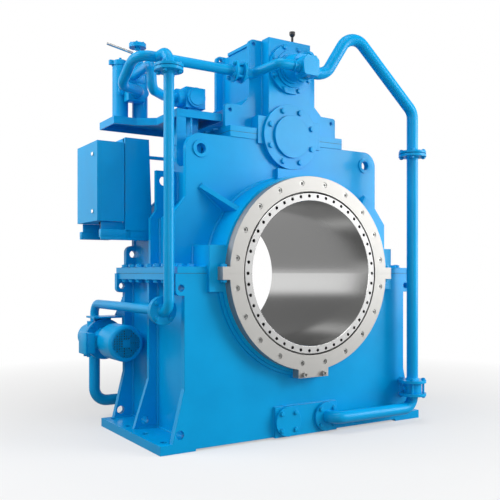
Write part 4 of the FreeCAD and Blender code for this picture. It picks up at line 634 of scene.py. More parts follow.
# %% [markdown]
# ### How a pipe is bent
# A fitter bends a pipe in a machine with a round former: straight runs, joined by one arc at each corner, which
# touches both runs. Where two runs meet at a known corner, the arc starts at the former's radius times the
# tangent of half the turn before it. A curve object with a round bevel then gives the pipe its skin and its ends.

# %% Helpers for pipes
ARC_STEPS = 10
RAISED_FACE, FACE_SHARE = 0.002, 0.62
NECK_LONG, NECK_WALL = 0.016, 0.007


def bent_line(points, bends):
    """The middle line of a bent pipe: straight runs, with an arc at each corner."""
    points = [Vector(point) for point in points]
    line = [points[0]]
    for before, corner, after, bend in zip(points, points[1:], points[2:], bends):
        back = (before - corner).normalized()
        ahead = (after - corner).normalized()
        turn = math.pi - back.angle(ahead)
        start = corner + back * bend * math.tan(turn / 2)
        centre = corner + (back + ahead).normalized() * bend / math.cos(turn / 2)
        for step in range(ARC_STEPS + 1):
            swing = Matrix.Rotation(-turn * step / ARC_STEPS, 3, back.cross(ahead))
            line.append(centre + swing @ (start - centre))
    return line + [points[-1]]


def add_tube(shape, points, bends, radius):
    """A bent pipe of one radius."""
    path = bpy.data.curves.new("path", "CURVE")
    path.dimensions = "3D"
    path.twist_mode = "MINIMUM"
    path.bevel_depth = radius
    path.bevel_resolution = 10
    path.use_fill_caps = True
    line = bent_line(points, bends)
    spline = path.splines.new("POLY")
    spline.points.add(len(line) - 1)
    for spot, place in zip(spline.points, line):
        spot.co = (*place, 1)
    holder = bpy.data.objects.new("path", path)
    mesh = bpy.data.meshes.new_from_object(holder)
    shape.from_mesh(mesh)
    bpy.data.objects.remove(holder)
    bpy.data.curves.remove(path)
    bpy.data.meshes.remove(mesh)


def add_flange(shape, face, away, radius, thick, pipe):
    """A pipe flange with a raised face and a short welding neck; away points along its pipe."""
    face = Vector(face)
    add_barrel(shape, face, face + away * RAISED_FACE, radius * FACE_SHARE)
    add_barrel(shape, face + away * RAISED_FACE, face + away * thick, radius, segments=64)
    add_barrel(shape, face + away * thick, face + away * (thick + NECK_LONG), pipe + NECK_WALL, pipe)


# %% [markdown]
# ### The attached pump
# A gear pump is a sandwich: a cover plate and a housing, milled to one outline, with a thin gap where they meet.
# Its outlet on the left is turned with a waist, and its inlet on the right is a plain collar.

# %% The attached pump
PUMP_SIDE, PUMP_LOW, PUMP_HIGH = 0.058, 1.236, 1.361
LOW_BEVEL, HIGH_BEVEL = 0.012, 0.025
COVER_Y, HOUSING_Y, CORE_Y = (-0.075, -0.0525), (-0.0515, 0.0195), (-0.06, 0.0)
CORE_SHARE, CORE_MIDDLE = 0.97, 1.3
PORT_Y, OUTLET_Z, INLET_Z = -0.014, 1.295, 1.272
PORT_R, WAIST_R = 0.0375, 0.0285
OUTLET_TURNING = ((0.0, PORT_R), (0.012, PORT_R), (0.02, WAIST_R), (0.032, WAIST_R), (0.041, PORT_R), (0.05, PORT_R))
INLET_X = (0.04, 0.074)

right = [(PUMP_SIDE - LOW_BEVEL, PUMP_LOW), (PUMP_SIDE, PUMP_LOW + LOW_BEVEL),
         (PUMP_SIDE, PUMP_HIGH - HIGH_BEVEL), (PUMP_SIDE - HIGH_BEVEL, PUMP_HIGH)]
outline = right + [(-x, z) for x, z in reversed(right)]
core = [(x * CORE_SHARE, CORE_MIDDLE + (z - CORE_MIDDLE) * CORE_SHARE) for x, z in outline]

pump = bmesh.new()
add_plate(pump, outline, *COVER_Y)
add_plate(pump, outline, *HOUSING_Y)
add_plate(pump, core, *CORE_Y)
outlet = Vector((-PUMP_SIDE, PORT_Y, OUTLET_Z))
for (start, near), (end, far) in zip(OUTLET_TURNING, OUTLET_TURNING[1:]):
    add_barrel(pump, outlet - X * start, outlet - X * end, near, far)
add_barrel(pump, (INLET_X[0], PORT_Y, INLET_Z), (INLET_X[1], PORT_Y, INLET_Z), PORT_R)
finished_pump = make_piece("finished_pump", pump, blue_enamel)
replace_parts(finished_pump, "pump_body", "pump_cover")

# %% [markdown]
# ### The suction pipe
# From the pump's inlet this pipe climbs over the tower's shoulder, runs down at a slant and turns straight down
# beside the casing. The points are the corners where its straight runs would meet, and each has its own bend.

# %% The suction pipe over the tower's shoulder
LARGE_R, SMALL_R = 0.03805, 0.03015
SUCTION_JOINT = (0.827, -0.11, 0.81)
SUCTION_FLANGE_R, SUCTION_FLANGE = 0.0915, 0.018
SUCTION_CORNERS = [(0.098, PORT_Y, INLET_Z), (0.160, -0.020, 1.290), (0.325, -0.066, 1.575), (0.827, -0.11, 1.094)]
SUCTION_BENDS = [0.060, 0.095, 0.100, 0.095]

suction = bmesh.new()
add_tube(suction, [(INLET_X[1], PORT_Y, INLET_Z), *SUCTION_CORNERS, SUCTION_JOINT], SUCTION_BENDS, LARGE_R)
add_flange(suction, SUCTION_JOINT, Z, SUCTION_FLANGE_R, SUCTION_FLANGE, LARGE_R)
finished_suction = make_piece("finished_suction_pipe", suction, blue_enamel)
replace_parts(finished_suction, "suction_pipe_upper")

# %% [markdown]
# ### The pressure side
# Behind it the manifold takes in the riser and swings round to the filter, and the cross pipe comes back from
# the filter to the thermostat valve.

# %% The pressure pipe
VALVE_LEFT, VALVE_RIGHT = Vector((-0.417, 0.17, 1.256)), Vector((-0.376, 0.17, 1.256))
VALVE_FLANGE_R, VALVE_FLANGE = 0.069, 0.016
PRESSURE_START = (-0.107, PORT_Y, OUTLET_Z)
PRESSURE_CORNERS = [(-0.205, PORT_Y, OUTLET_Z), (-0.285, 0.17, 1.256)]
PRESSURE_BENDS = [0.036, 0.030]

pressure = bmesh.new()
add_tube(pressure, [PRESSURE_START, *PRESSURE_CORNERS, VALVE_RIGHT], PRESSURE_BENDS, SMALL_R)
add_flange(pressure, VALVE_RIGHT, X, VALVE_FLANGE_R, VALVE_FLANGE, SMALL_R)
finished_pressure = make_piece("finished_pressure_pipe", pressure, blue_enamel)
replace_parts(finished_pressure, "pressure_pipe")

# %% The check valve
BODY_R, SEAT_R, SEAT_LIP = 0.043, 0.039, 0.002
TIE_PITCH_R, TIE_R, TIE_PAST = 0.052, 0.008, 0.018
TIE_NUT_WIDE, TIE_NUT_HIGH = 0.024, 0.0135

check = bmesh.new()
add_barrel(check, VALVE_LEFT + X * SEAT_LIP, VALVE_RIGHT - X * SEAT_LIP, BODY_R)
add_barrel(check, VALVE_LEFT, VALVE_RIGHT, SEAT_R)
for tie in round_pattern(4, TIE_PITCH_R, Y, Z, 45):
    nut_faces = (VALVE_LEFT - X * VALVE_FLANGE + tie, VALVE_RIGHT + X * VALVE_FLANGE + tie)
    add_barrel(check, nut_faces[0] - X * TIE_PAST, nut_faces[1] + X * TIE_PAST, TIE_R, segments=16)
    for sign, face in zip((-1, 1), nut_faces):
        add_head(check, 0, sign, face, TIE_NUT_WIDE, TIE_NUT_HIGH)
finished_check = make_piece("finished_check_valve", check, blue_enamel)
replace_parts(finished_check, "check_valve")

# %% The manifold and the cross pipe
RISER_JOINT = (-0.94, 0.016, 1.156)
RISER_FLANGE_R, RISER_FLANGE, RISER_BEND = 0.0825, 0.018, 0.076
BLOCK_FRONT = 0.690
INLET_X_Z, OUTLET_X_Z = (-0.850, 1.174), (-0.868, 1.285)
MANIFOLD_CORNERS = [(-1.045, 0.17, 1.256), (-1.045, 0.300, 1.252), (-1.035, 0.485, 1.152),
                    (INLET_X_Z[0], 0.635, INLET_X_Z[1])]
MANIFOLD_END = (INLET_X_Z[0], 0.679, INLET_X_Z[1])
MANIFOLD_BENDS = [0.070, 0.200, 0.090, 0.045]
CROSS_START = (OUTLET_X_Z[0], BLOCK_FRONT, OUTLET_X_Z[1])
CROSS_CORNERS = [(OUTLET_X_Z[0], 0.655, OUTLET_X_Z[1]), (-0.935, 0.270, 1.245), (-0.925, 0.275, 1.095),
                 (-0.760, 0.465, 1.118)]
CROSS_END = (-0.677, 0.465, 1.118)
CROSS_BENDS = [0.100, 0.050, 0.050, 0.045]

manifold = bmesh.new()
add_tube(manifold, [VALVE_LEFT, *MANIFOLD_CORNERS, MANIFOLD_END], MANIFOLD_BENDS, SMALL_R)
add_flange(manifold, VALVE_LEFT, -X, VALVE_FLANGE_R, VALVE_FLANGE, SMALL_R)
riser_x, riser_y = RISER_JOINT[:2]
riser_corner = (riser_x, riser_y, VALVE_LEFT.z)
add_tube(manifold, [RISER_JOINT, riser_corner, (riser_x, VALVE_LEFT.y, VALVE_LEFT.z)], [RISER_BEND], SMALL_R)
add_flange(manifold, RISER_JOINT, Z, RISER_FLANGE_R, RISER_FLANGE, SMALL_R)
finished_manifold = make_piece("finished_manifold_pipe", manifold, blue_enamel)
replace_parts(finished_manifold, "manifold_pipe")

cross = bmesh.new()
add_tube(cross, [CROSS_START, *CROSS_CORNERS, CROSS_END], CROSS_BENDS, SMALL_R)
finished_cross = make_piece("finished_cross_pipe", cross, blue_enamel)
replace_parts(finished_cross, "cross_pipe")

# %% [markdown]
# ### The filter's changeover block
# In front of the two bowls stands a block of two cast storeys with a narrow waist. Each bowl hangs on a short arm of
# it. A column on its top guides the lever's spindle, under a round bonnet with six screws.

# %% The duplex filter's changeover block
BLOCK_LEFT, BLOCK_RIGHT, BLOCK_BACK = -0.904, -0.786, 0.768
STOREYS = ((1.122, 1.237), (1.240, 1.340))
CAST_EDGE, WAIST_IN, WAIST_Z = 0.004, 0.003, (1.2, 1.3)
WEB_LOW, WEB_HIGH = (BLOCK_LEFT + 0.024, BLOCK_BACK - 0.01, 1.142), (BLOCK_RIGHT - 0.004, 0.81, 1.335)
BOSS_R, BOSS_Y = 0.038, (0.678, 0.7)
BOWL_X, ARM_R, ARM_Y, ARM_Z = (-0.905, -0.765), 0.034, (BLOCK_BACK - 0.01, 0.785), 1.2
COLUMN = Vector((-0.822, 0.735, 0))
LEVER_LOW, BONNET_Z = 1.422, 1.508
COLUMN_TURNING = ((1.28, LEVER_LOW, 0.038, 0.038), (LEVER_LOW, 1.482, 0.02, 0.02),
                  (1.482, BONNET_Z, 0.056, 0.056), (BONNET_Z, 1.516, 0.040, 0.030))
BONNET_PITCH_R, BONNET_HEAD_WIDE, BONNET_HEAD_HIGH = 0.045, 0.013, 0.007

block = bmesh.new()
for low, high in STOREYS:
    add_block(block, (BLOCK_LEFT, BLOCK_FRONT, low), (BLOCK_RIGHT, BLOCK_BACK, high), CAST_EDGE)
add_block(block, (BLOCK_LEFT + WAIST_IN, BLOCK_FRONT + WAIST_IN, WAIST_Z[0]),
          (BLOCK_RIGHT - WAIST_IN, BLOCK_BACK - WAIST_IN, WAIST_Z[1]))
add_block(block, WEB_LOW, WEB_HIGH)
add_barrel(block, (INLET_X_Z[0], BOSS_Y[0], INLET_X_Z[1]), (INLET_X_Z[0], BOSS_Y[1], INLET_X_Z[1]), BOSS_R)
for x in BOWL_X:
    add_barrel(block, (x, ARM_Y[0], ARM_Z), (x, ARM_Y[1], ARM_Z), ARM_R)
for low, high, near, far in COLUMN_TURNING:
    add_barrel(block, COLUMN + Z * low, COLUMN + Z * high, near, far)
for spot in round_pattern(6, BONNET_PITCH_R, X, Y):
    add_head(block, 2, 1, COLUMN + Z * BONNET_Z + spot, BONNET_HEAD_WIDE, BONNET_HEAD_HIGH)
finished_head = make_piece("finished_filter_head", block, blue_enamel)
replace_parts(finished_head, "filter_head")

# %% [markdown]
# ### The standby set
# An electric motor with cooling fins drives a small pump through a bell housing. All its round parts share one
# axis, so one helper turns them, and one fin is made once and set round that axis 36 times.

# %% The standby motor
MOTOR_AXIS = Vector((-0.94, 0, -0.449))
FIN_ROOT, FIN_TIP, FIN_HALF, FIN_COUNT = 0.096, 0.108, 0.0015, 36
FIN_FRONT, FIN_EDGE = 0.726, 0.0005
FRAME_FRONT, FRAME_BACK, SHIELD_BACK, SHIELD_R = 0.720, 0.876, 1.021, 0.086
MOTOR_FLANGE_R, MOTOR_FLANGE_Y = 0.138, (1.020, 1.037)
SADDLE_LOW, SADDLE_HIGH = (-1.063, 0.882, -0.492), (-0.98, 0.984, -0.413)
MOTOR_BOLT_R, MOTOR_BOLT_WIDE, MOTOR_BOLT_HIGH = 0.123, 0.019, 0.009


def motor_barrel(shape, low, high, radius, tip=None):
    """A round form about the motor's axis, between two places along Y."""
    add_barrel(shape, MOTOR_AXIS + Y * low, MOTOR_AXIS + Y * high, radius, tip, 64)


fin = bmesh.new()
add_block(fin, (-FIN_HALF, FIN_FRONT, FIN_ROOT - 0.004), (FIN_HALF, FRAME_BACK, FIN_TIP), FIN_EDGE)
fin_mesh = bpy.data.meshes.new("fin")
fin.to_mesh(fin_mesh)
fin.free()

motor = bmesh.new()
motor_barrel(motor, FRAME_FRONT, FRAME_BACK, FIN_ROOT)
motor_barrel(motor, FRAME_BACK, SHIELD_BACK, SHIELD_R)
motor_barrel(motor, *MOTOR_FLANGE_Y, MOTOR_FLANGE_R)
for i in range(FIN_COUNT):
    turn = Matrix.Rotation(2 * math.pi * i / FIN_COUNT, 4, "Y")
    add_shape(motor, fin_mesh, Matrix.Translation(MOTOR_AXIS) @ turn)
add_block(motor, SADDLE_LOW, SADDLE_HIGH)
for spot in round_pattern(4, MOTOR_BOLT_R, X, Z, 45):
    add_head(motor, 1, -1, MOTOR_AXIS + Y * MOTOR_FLANGE_Y[0] + spot, MOTOR_BOLT_WIDE, MOTOR_BOLT_HIGH)
finished_motor = make_piece("finished_standby_motor", motor, blue_enamel)
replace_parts(finished_motor, "standby_motor")

# %% The pump with its bell housing, and the terminal box
BELL_TURNING = ((1.038, 1.052, 0.138, 0.138), (1.050, 1.122, 0.104, 0.084), (1.120, 1.330, 0.088, 0.088),
                (1.330, 1.344, 0.074, 0.074))
PUMP_PORT_Y, PUMP_PORT_Z, PUMP_PORT_R = 1.227, (-0.560, -0.338), 0.052
BELL_FOOT_LOW, BELL_FOOT_HIGH = (-1.0, 1.060, -0.39), (-0.88, 1.078, -0.302)
TERMINAL_LOW, TERMINAL_HIGH = (-1.116, 0.868, -0.526), (-1.061, 0.998, -0.394)
LID_LOW, LID_HIGH = (-1.130, 0.862, -0.532), (-1.1165, 1.004, -0.388)
GLAND_X, GLAND_Y, GLAND_Z, GLAND_R = -1.097, (0.902, 0.964), (-0.550, -0.524), 0.012

bell = bmesh.new()
for low, high, near, far in BELL_TURNING:
    motor_barrel(bell, low, high, near, far)
add_barrel(bell, (MOTOR_AXIS.x, PUMP_PORT_Y, PUMP_PORT_Z[0]), (MOTOR_AXIS.x, PUMP_PORT_Y, PUMP_PORT_Z[1]),
           PUMP_PORT_R)
add_block(bell, BELL_FOOT_LOW, BELL_FOOT_HIGH)
finished_bell = make_piece("finished_standby_pump", bell, blue_enamel)
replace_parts(finished_bell, "standby_pump")

terminal = bmesh.new()
add_block(terminal, TERMINAL_LOW, TERMINAL_HIGH, CAST_EDGE)
add_block(terminal, LID_LOW, LID_HIGH, CAST_EDGE)
for y in GLAND_Y:
    add_barrel(terminal, (GLAND_X, y, GLAND_Z[0]), (GLAND_X, y, GLAND_Z[1]), GLAND_R, segments=24)
finished_terminal = make_piece("finished_terminal_box", terminal, blue_enamel)
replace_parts(finished_terminal, "terminal_box")

# %% [markdown]
# ### The fan cowl
# The cowl is spun from sheet: one thin profile with a rounded shoulder, turned once round the motor's axis. Its
# grille is a lattice of thin bars, in which the middle and the rim stay closed, so small plates fill those cells.

# %% The fan cowl and its grille
COWL_R, COWL_FRONT, COWL_REAR, COWL_ROUND, COWL_SKIN = 0.118, 0.634, 0.850, 0.024, 0.0025
GRILLE_R, GRILLE_STEP, GRILLE_BAR = 0.094, 0.01575, 0.00675
GRILLE_LINES, OPEN_CELLS = 6, 7
FILL_HALF = 0.0052

cowl = bmesh.new()
rounding = [(COWL_R - COWL_ROUND + COWL_ROUND * math.sin(math.radians(15 * i)),
             COWL_FRONT + COWL_ROUND - COWL_ROUND * math.cos(math.radians(15 * i))) for i in range(7)]
inside = [(radius - COWL_SKIN, y + (COWL_SKIN if y < COWL_FRONT + COWL_ROUND - 0.004 else 0))
          for radius, y in reversed(rounding)]
profile = rounding + [(COWL_R, COWL_REAR), (COWL_R - COWL_SKIN, COWL_REAR)] + inside
points = [cowl.verts.new((MOTOR_AXIS.x + radius, y, MOTOR_AXIS.z)) for radius, y in profile]
edges = [cowl.edges.new(pair) for pair in zip(points, points[1:] + points[:1])]
bmesh.ops.spin(cowl, geom=points + edges, cent=MOTOR_AXIS, axis=Y, angle=2 * math.pi, steps=64, use_merge=True)
bmesh.ops.remove_doubles(cowl, verts=cowl.verts, dist=1e-5)


def add_slab(shape, x, z, half_x, half_z, front, back, edge):
    """A thin plate of the grille, placed from the motor's axis."""
    corner = Vector((half_x, 0, half_z))
    middle = MOTOR_AXIS + X * x + Z * z
    add_block(shape, middle - corner + Y * (COWL_FRONT + front), middle + corner + Y * (COWL_FRONT + back), edge)


for i in range(-GRILLE_LINES, GRILLE_LINES):
    offset = (i + 0.5) * GRILLE_STEP
    reach = math.sqrt(GRILLE_R ** 2 - offset ** 2)
    add_slab(cowl, offset, 0, GRILLE_BAR / 2, reach, 0.0002, COWL_SKIN, 0.0003)
    add_slab(cowl, 0, offset, reach, GRILLE_BAR / 2, 0.0002, COWL_SKIN, 0.0003)
for i in range(-GRILLE_LINES, GRILLE_LINES + 1):
    for j in range(-GRILLE_LINES, GRILLE_LINES + 1):
        at_rim = abs(i) + abs(j) > OPEN_CELLS and math.hypot(i, j) * GRILLE_STEP < GRILLE_R + 0.004
        if at_rim or max(abs(i), abs(j)) < 2:
            add_slab(cowl, i * GRILLE_STEP, j * GRILLE_STEP, FILL_HALF, FILL_HALF, 0.0004, 0.002, 0.0002)
finished_cowl = make_piece("finished_fan_cowl", cowl, blue_enamel)
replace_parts(finished_cowl, "fan_cowl")

# %% [markdown]
# ### The platform's plates
# A plate with rounded corners hangs under the platform's front, and a web stands between the platform and the
# casing's roof. Both are flat, so an outline and a thickness are enough.

# %% The plate that hangs under the platform, and the web
TRAY_LOW = 0.967
HANGER_X, HANGER_Y, HANGER_LOW, HANGER_ROUND = (-0.749, -0.688), (0.300, 0.310), 0.660, 0.028
WEB_CORNERS = ((-0.656, 0.301, 0.825), (-0.644, 0.640, 1.001))

hanger = bmesh.new()
rounds = [(HANGER_ROUND * math.sin(math.radians(15 * i)), HANGER_ROUND * math.cos(math.radians(15 * i)))
          for i in range(7)]
middle = (HANGER_X[0] + HANGER_X[1]) / 2
straight = (HANGER_X[1] - HANGER_X[0]) / 2 - HANGER_ROUND
outline = [(middle + straight + across, HANGER_LOW + HANGER_ROUND - down) for across, down in rounds]
outline += [(HANGER_X[1], TRAY_LOW), (HANGER_X[0], TRAY_LOW)]
outline += [(middle - straight - across, HANGER_LOW + HANGER_ROUND - down) for across, down in reversed(rounds)]
add_plate(hanger, outline, *HANGER_Y)
add_block(hanger, *WEB_CORNERS, 0.0015)
make_piece("platform_webs", hanger, blue_enamel)

# %% [markdown]
# ### The cabinet's bracket
# The cabinet stands on a shelf of square bars and is bolted to a flat post beside it. Between that post and the
# casing there is open space, through which the casing's side shows.

# %% The cabinet's bracket
POST_X, CABINET_Y, SHELL_AT = (-0.958, -0.795), (0.613, 0.990), -0.775
SHELF_LOW, SHELF_HIGH, SHELF_REAR, SHELF_LIP = 0.226, 0.276, 1.020, 0.016
BRACKET_TOP, BAR = 0.862, 0.04
CABINET_X, CABINET_LOW = (-1.118, -0.964), 0.327
STUD_R, STUD_Z = 0.012, (CABINET_LOW + 0.07, CABINET_LOW + 0.43)

bracket = bmesh.new()
front, rear = CABINET_Y
add_plate(bracket, [(POST_X[0], SHELF_HIGH - 0.01), (SHELL_AT, SHELF_HIGH - 0.01), (SHELL_AT, 0.345),
                    (POST_X[1], 0.380), (POST_X[1], BRACKET_TOP), (POST_X[0], BRACKET_TOP)], front, front + 0.010)
bars = [((CABINET_X[0], front, SHELF_LOW), (SHELL_AT, front + BAR, SHELF_HIGH)),
        ((CABINET_X[0], front, SHELF_LOW - SHELF_LIP), (POST_X[1], front + SHELF_LIP, SHELF_LOW + 0.002)),
        ((POST_X[0], front, SHELF_LOW), (POST_X[0] + BAR, SHELF_REAR, SHELF_HIGH)),
        ((CABINET_X[0], SHELF_REAR - BAR, SHELF_LOW), (POST_X[0] + BAR, SHELF_REAR, SHELF_HIGH)),
        ((POST_X[0] + 0.03, 0.927, SHELF_LOW), (SHELL_AT + 0.005, 0.947, SHELF_HIGH)),
        ((POST_X[0], front + 0.008, SHELF_HIGH - 0.01), (POST_X[0] + 0.03, front + BAR, BRACKET_TOP)),
        ((POST_X[0], rear - 0.05, SHELF_HIGH - 0.01), (POST_X[0] + 0.03, rear - 0.01, BRACKET_TOP)),
        ((POST_X[0], front + 0.02, BRACKET_TOP - 0.03), (POST_X[0] + 0.03, rear - 0.02, BRACKET_TOP - 0.001)),
        ((POST_X[1] - 0.005, front + 0.008, 0.740), (-0.648, front + 0.03, 0.760))]
for y in (front + 0.027, rear - 0.012):
    bars.append(((CABINET_X[0] + 0.01, y, SHELF_HIGH - 0.002), (POST_X[0] + 0.008, y + 0.01, CABINET_LOW - 0.001)))
for low, high in bars:
    add_block(bracket, low, high)
for y in (front + 0.027, rear - 0.03):
    for z in STUD_Z:
        add_barrel(bracket, (CABINET_X[1] + 0.0005, y, z), (POST_X[0] + 0.002, y, z), STUD_R, segments=24)
finished_bracket = make_piece("finished_cabinet_bracket", bracket, blue_enamel)
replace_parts(finished_bracket, "cabinet_bracket")

# %% [markdown]
# ## Weld beads
# The casing is welded from plates, and each inner corner carries a bead. A bead is a small bar with a rounded,
# rippled face, where the welder laid one drop over the last. Here it starts as a grid, one row of faces for each
# drop, which is folded round into a bar and laid along the corner, with every other row a little fuller. After
# paint a bead is as blue as the plates, but it catches the light along its ripples.

# %% Lay a bead along a corner
BEAD_STEP = 0.008
BEAD_ROOT, BEAD_CROWN, BEAD_RIPPLE = 0.2, 0.66, 0.16
LEG, THIN_LEG, FINE_LEG, WIDE_LEG = 0.009, 0.007, 0.006, 0.011


def lay_bead(shape, corner_at, length, leg):
    """A rippled bead; corner_at gives the corner, and the two directions along its plates, at 0 to 1 of it."""
    steps = max(2, round(length / BEAD_STEP))
    fresh = bmesh.ops.create_grid(shape, x_segments=steps, y_segments=4, size=1.0)["verts"]
    for point in fresh:
        share = (point.co.x + 1) / 2
        row = round((point.co.y + 1) * 2)
        corner, first, second = corner_at(share)
        fuller = leg * (1.0 + BEAD_RIPPLE * (round(share * steps) % 2))
        if row in (0, 4):
            point.co = corner - (first + second) * leg * BEAD_ROOT
        elif row == 2:
            point.co = corner + (first + second) * fuller * BEAD_CROWN
        else:
            point.co = corner + (first if row == 1 else second) * fuller
    bmesh.ops.remove_doubles(shape, verts=fresh, dist=1e-6)


def straight_bead(shape, start, end, first, second, leg=LEG):
    """A bead along a straight corner."""
    start, end, first, second = (Vector(item) for item in (start, end, first, second))
    lay_bead(shape, lambda share: (start.lerp(end, share), first, second), (end - start).length, leg)


def round_bead(shape, radius, angles, y, leg=LEG):
    """A bead round the shaft's axis, between a barrel and a plate that faces the front."""
    low, high = (math.radians(angle) for angle in angles)

    def corner_at(share):
        angle = low + (high - low) * share
        outward = Vector((math.cos(angle), 0, math.sin(angle)))
        return outward * radius + Y * y, outward, -Y

    lay_bead(shape, corner_at, radius * (high - low), leg)


# %% Beads of the lower casing
FRONT, REAR, UP, DOWN = -Y, Y, Z, -Z
WALL_X, EDGE_X, FOOT_X = 0.79, 0.85, 0.925
BASE_TOP, FLANGE_LOW, FLANGE_HIGH = -0.966, -0.038, 0.038
END_PLATE_BACK, RIB_FRONT, RIB_BACK, REAR_PLATE = 0.04, 0.49, 0.52, 0.887
PLATE_FACES = ((END_PLATE_BACK, REAR), (RIB_FRONT, FRONT), (RIB_BACK, REAR), (REAR_PLATE, FRONT))
BAYS = ((END_PLATE_BACK, RIB_FRONT), (RIB_BACK, REAR_PLATE))
PAD_X, PAD_LOW, PAD_HIGH = 0.24, -1.008, -0.823

beads = bmesh.new()
for side in (-1, 1):
    out = X * side
    for y, facing in PLATE_FACES:
        straight_bead(beads, (side * WALL_X, y, BASE_TOP), (side * WALL_X, y, FLANGE_LOW), out, facing)
        straight_bead(beads, (side * WALL_X, y, BASE_TOP), (side * FOOT_X, y, BASE_TOP), UP, facing)
        straight_bead(beads, (side * WALL_X, y, FLANGE_LOW), (side * EDGE_X, y, FLANGE_LOW), DOWN, facing)
    for start, end in BAYS:
        for z, facing in ((BASE_TOP, UP), (FLANGE_LOW, DOWN)):
            straight_bead(beads, (side * WALL_X, start, z), (side * WALL_X, end, z), facing, out)
    straight_bead(beads, (side * PAD_X, 0, PAD_LOW), (side * PAD_X, 0, PAD_HIGH), out, FRONT, FINE_LEG)
straight_bead(beads, (-PAD_X, 0, PAD_HIGH), (PAD_X, 0, PAD_HIGH), UP, FRONT, FINE_LEG)
print("lower beads:", len(beads.faces))

# %% Beads of the middle casing
PLATE_FRONT, PLATE_BACK, PLATE_X = 0.18, 0.215, 0.838
BARREL_R, GUSSET_END, GUSSET_HALF, GUSSET_LEG = 0.615, 0.843, 0.015, 0.008
GUSSET_ANGLE = math.radians(39)
CHEEK_X, CHEEK_TOP = 0.705, 0.165
SHELL_X, RIB_X, SLANT_LOW = 0.775, 0.835, 0.345
NECK_X, SLANT_HIGH = 0.65, 0.46
NECK_FACES = ((PLATE_BACK, REAR, 0.84), (RIB_FRONT, FRONT, 0.65), (RIB_BACK, REAR, 0.65))
COLLAR_ARCS = ((16.0, 37.4), (40.6, 79.0), (101.0, 139.4), (142.6, 164.0))

for side in (-1, 1):
    out = X * side
    cheek, low = side * CHEEK_X, FLANGE_HIGH
    straight_bead(beads, (cheek, PLATE_FRONT, low), (side * PLATE_X, PLATE_FRONT, low), UP, FRONT)
    straight_bead(beads, (cheek, PLATE_FRONT, low), (cheek, PLATE_FRONT, CHEEK_TOP), out, FRONT)
    straight_bead(beads, (side * BARREL_R, PLATE_FRONT, CHEEK_TOP), (cheek, PLATE_FRONT, CHEEK_TOP), UP, FRONT)
    straight_bead(beads, (cheek, 0.0, low), (cheek, PLATE_FRONT, low), UP, out, THIN_LEG)
    for start, end in ((PLATE_BACK, RIB_FRONT), (RIB_BACK, REAR_PLATE)):
        straight_bead(beads, (side * SHELL_X, start, low), (side * SHELL_X, end, low), UP, out)
    for y, facing, neck_top in NECK_FACES:
        straight_bead(beads, (side * SHELL_X, y, low), (side * RIB_X, y, low), UP, facing, THIN_LEG)
        straight_bead(beads, (side * SHELL_X, y, low), (side * SHELL_X, y, SLANT_LOW), out, facing)
        straight_bead(beads, (side * NECK_X, y, SLANT_HIGH), (side * NECK_X, y, neck_top), out, facing)
    spoke = out * math.cos(GUSSET_ANGLE) + Z * math.sin(GUSSET_ANGLE)
    for turn in (-1, 1):
        across = (Z * math.cos(GUSSET_ANGLE) - out * math.sin(GUSSET_ANGLE)) * turn
        lift = across * GUSSET_HALF + Y * PLATE_FRONT
        straight_bead(beads, spoke * BARREL_R + lift, spoke * GUSSET_END + lift, across, FRONT, GUSSET_LEG)
for arc in COLLAR_ARCS:
    round_bead(beads, BARREL_R, arc, PLATE_FRONT, WIDE_LEG)
print("with middle beads:", len(beads.faces))

# %% Beads of the top casing
EAR_FRONT, EAR_BACK, REAR_EAR, EAR_X = 0.245, 0.275, 0.672, 0.44
FLANGE_TOP, TOWER_PAD_X, TOWER_PAD_TOP, LOW_X = 0.921, 0.245, 1.004, 0.385
BOX_X, TOWER_X, TOWER_LOW, LID_LINE = 0.165, 0.205, 1.152, 1.49

for side in (-1, 1):
    out = X * side
    top = FLANGE_TOP
    lines = [((TOWER_PAD_X, EAR_FRONT, top), (EAR_X, EAR_FRONT, top), UP, FRONT),
             ((BOX_X, EAR_FRONT, TOWER_PAD_TOP), (BOX_X, EAR_FRONT, LID_LINE), out, FRONT),
             ((LOW_X, EAR_BACK, top), (LOW_X, REAR_EAR, top), UP, out)]
    for y, facing in ((EAR_BACK, REAR), (REAR_EAR, FRONT)):
        lines.append(((TOWER_X, y, TOWER_LOW), (TOWER_X, y, LID_LINE), out, facing))
        lines.append(((LOW_X, y, top), (EAR_X, y, top), UP, facing))
    for (start_x, *start), (end_x, *end), first, second in lines:
        straight_bead(beads, (side * start_x, *start), (side * end_x, *end), first, second, THIN_LEG)
make_piece("weld_beads", beads, blue_enamel)

# %% [markdown]
# ## Gaskets and seals
# Every joint of an oil system is sealed. Pipe flanges have a thin dark ring between their raised faces, and the
# casing's halves meet on a line of dark sealant that squeezes out by a hair. These lines are thin, but they are
# what makes a joint look like a joint.

# %% Rings between the pipe flanges
PIPE_JOINTS = (((0.827, -0.11, 0.809), 2, 0.0605), ((-0.94, 0.016, 1.155), 2, 0.0495),
               ((-0.94, 0.105, -0.214), 1, 0.0495))
GASKET_THICK = 0.0021
# Near-black: the real colour of the gaskets and sealant, and further down also the painted shade inside the threaded
# holes.
seal_and_hole_shade_black = dull("seal_and_hole_shade_black", (0.02, 0.02, 0.021), 0.6)

seals = bmesh.new()
for place, axis, radius in PIPE_JOINTS:
    bmesh.ops.create_cone(seals, cap_ends=True, segments=48, radius1=radius, radius2=radius, depth=GASKET_THICK,
                          matrix=along(axis, 1, Vector(place)))
make_piece("pipe_gaskets", seals, seal_and_hole_shade_black)

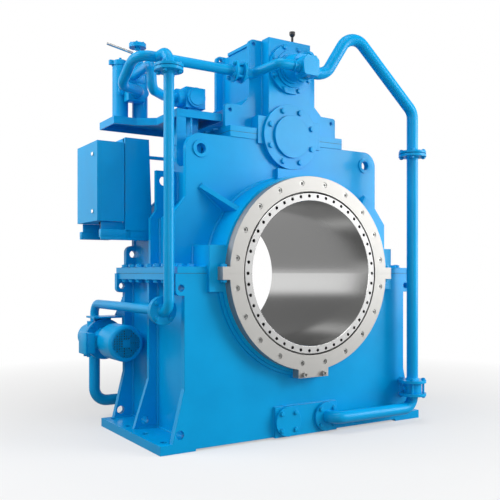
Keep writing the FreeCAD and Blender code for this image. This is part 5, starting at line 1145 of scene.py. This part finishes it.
# %% Sealant in the casing's joints
HAIR, PROUD = 0.0009, 0.0006
CASING_JOINTS = ((0.706, 0.895, 0.0, 0.927, 0.0), (TOWER_PAD_X, 0.444, 0.175, 0.737, 0.885))


def add_bar(shape, low, high):
    """A plain bar between two corners, given in any order along X."""
    low, high = Vector(low), Vector(high)
    low.x, high.x = sorted((low.x, high.x))
    bmesh.ops.create_cube(shape, size=1.0, matrix=Matrix.Translation((low + high) / 2)
                          @ Matrix.Diagonal((*(high - low), 1)))


sealant = bmesh.new()
for near_x, far_x, front, rear, z in CASING_JOINTS:
    for side in (-1, 1):
        add_bar(sealant, (side * far_x, front, z - HAIR), (side * (far_x + PROUD), rear, z + HAIR))
        add_bar(sealant, (side * near_x, front - PROUD, z - HAIR), (side * far_x, front, z + HAIR))
make_piece("joint_sealant", sealant, seal_and_hole_shade_black)

# %% [markdown]
# ## Painted shade in the threaded holes of the shaft's face
# The coupling is bolted to 46 threaded holes round the hollow shaft's face. From outside a hole reads as a black
# dot, because its inside lies in shade. That shade is painted here: each hole gets a thin lining, a short open
# barrel in near-black that turns with the shaft.

# %% Line the threaded holes with painted shade
COUPLING_R, COUPLING_COUNT, FACE_Y = 0.48, 46, -0.09
LINING_R, LINING_DEPTH, LINING_SINK = 0.0097, 0.04, 0.0006
LINING_WALL, LINING_FLOOR = 0.0008, 0.002

# Painted shade: a near-black lining where the inside of each hole falls into shade.
hole_shade_linings = bmesh.new()
for spot in round_pattern(COUPLING_COUNT, COUPLING_R, X, Z):
    centre = spot + Y * (FACE_Y + LINING_SINK + LINING_DEPTH / 2)
    made = bmesh.ops.create_cone(hole_shade_linings, cap_ends=True, segments=16, radius1=LINING_R, radius2=LINING_R,
                                 depth=LINING_DEPTH, matrix=along(1, 1, centre))
    mouth = list(dict.fromkeys(face for point in made["verts"] for face in point.link_faces
                               if face.normal.y < -0.9 and len(face.verts) > 8))
    bmesh.ops.inset_region(hole_shade_linings, faces=mouth, thickness=LINING_WALL, depth=0.0)
    inner = list(dict.fromkeys(point for face in mouth for point in face.verts))
    bmesh.ops.translate(hole_shade_linings, vec=(0, LINING_DEPTH - LINING_FLOOR, 0), verts=inner)
make_piece("painted_shade_in_threaded_holes", hole_shade_linings, seal_and_hole_shade_black, "propeller_shaft_line")
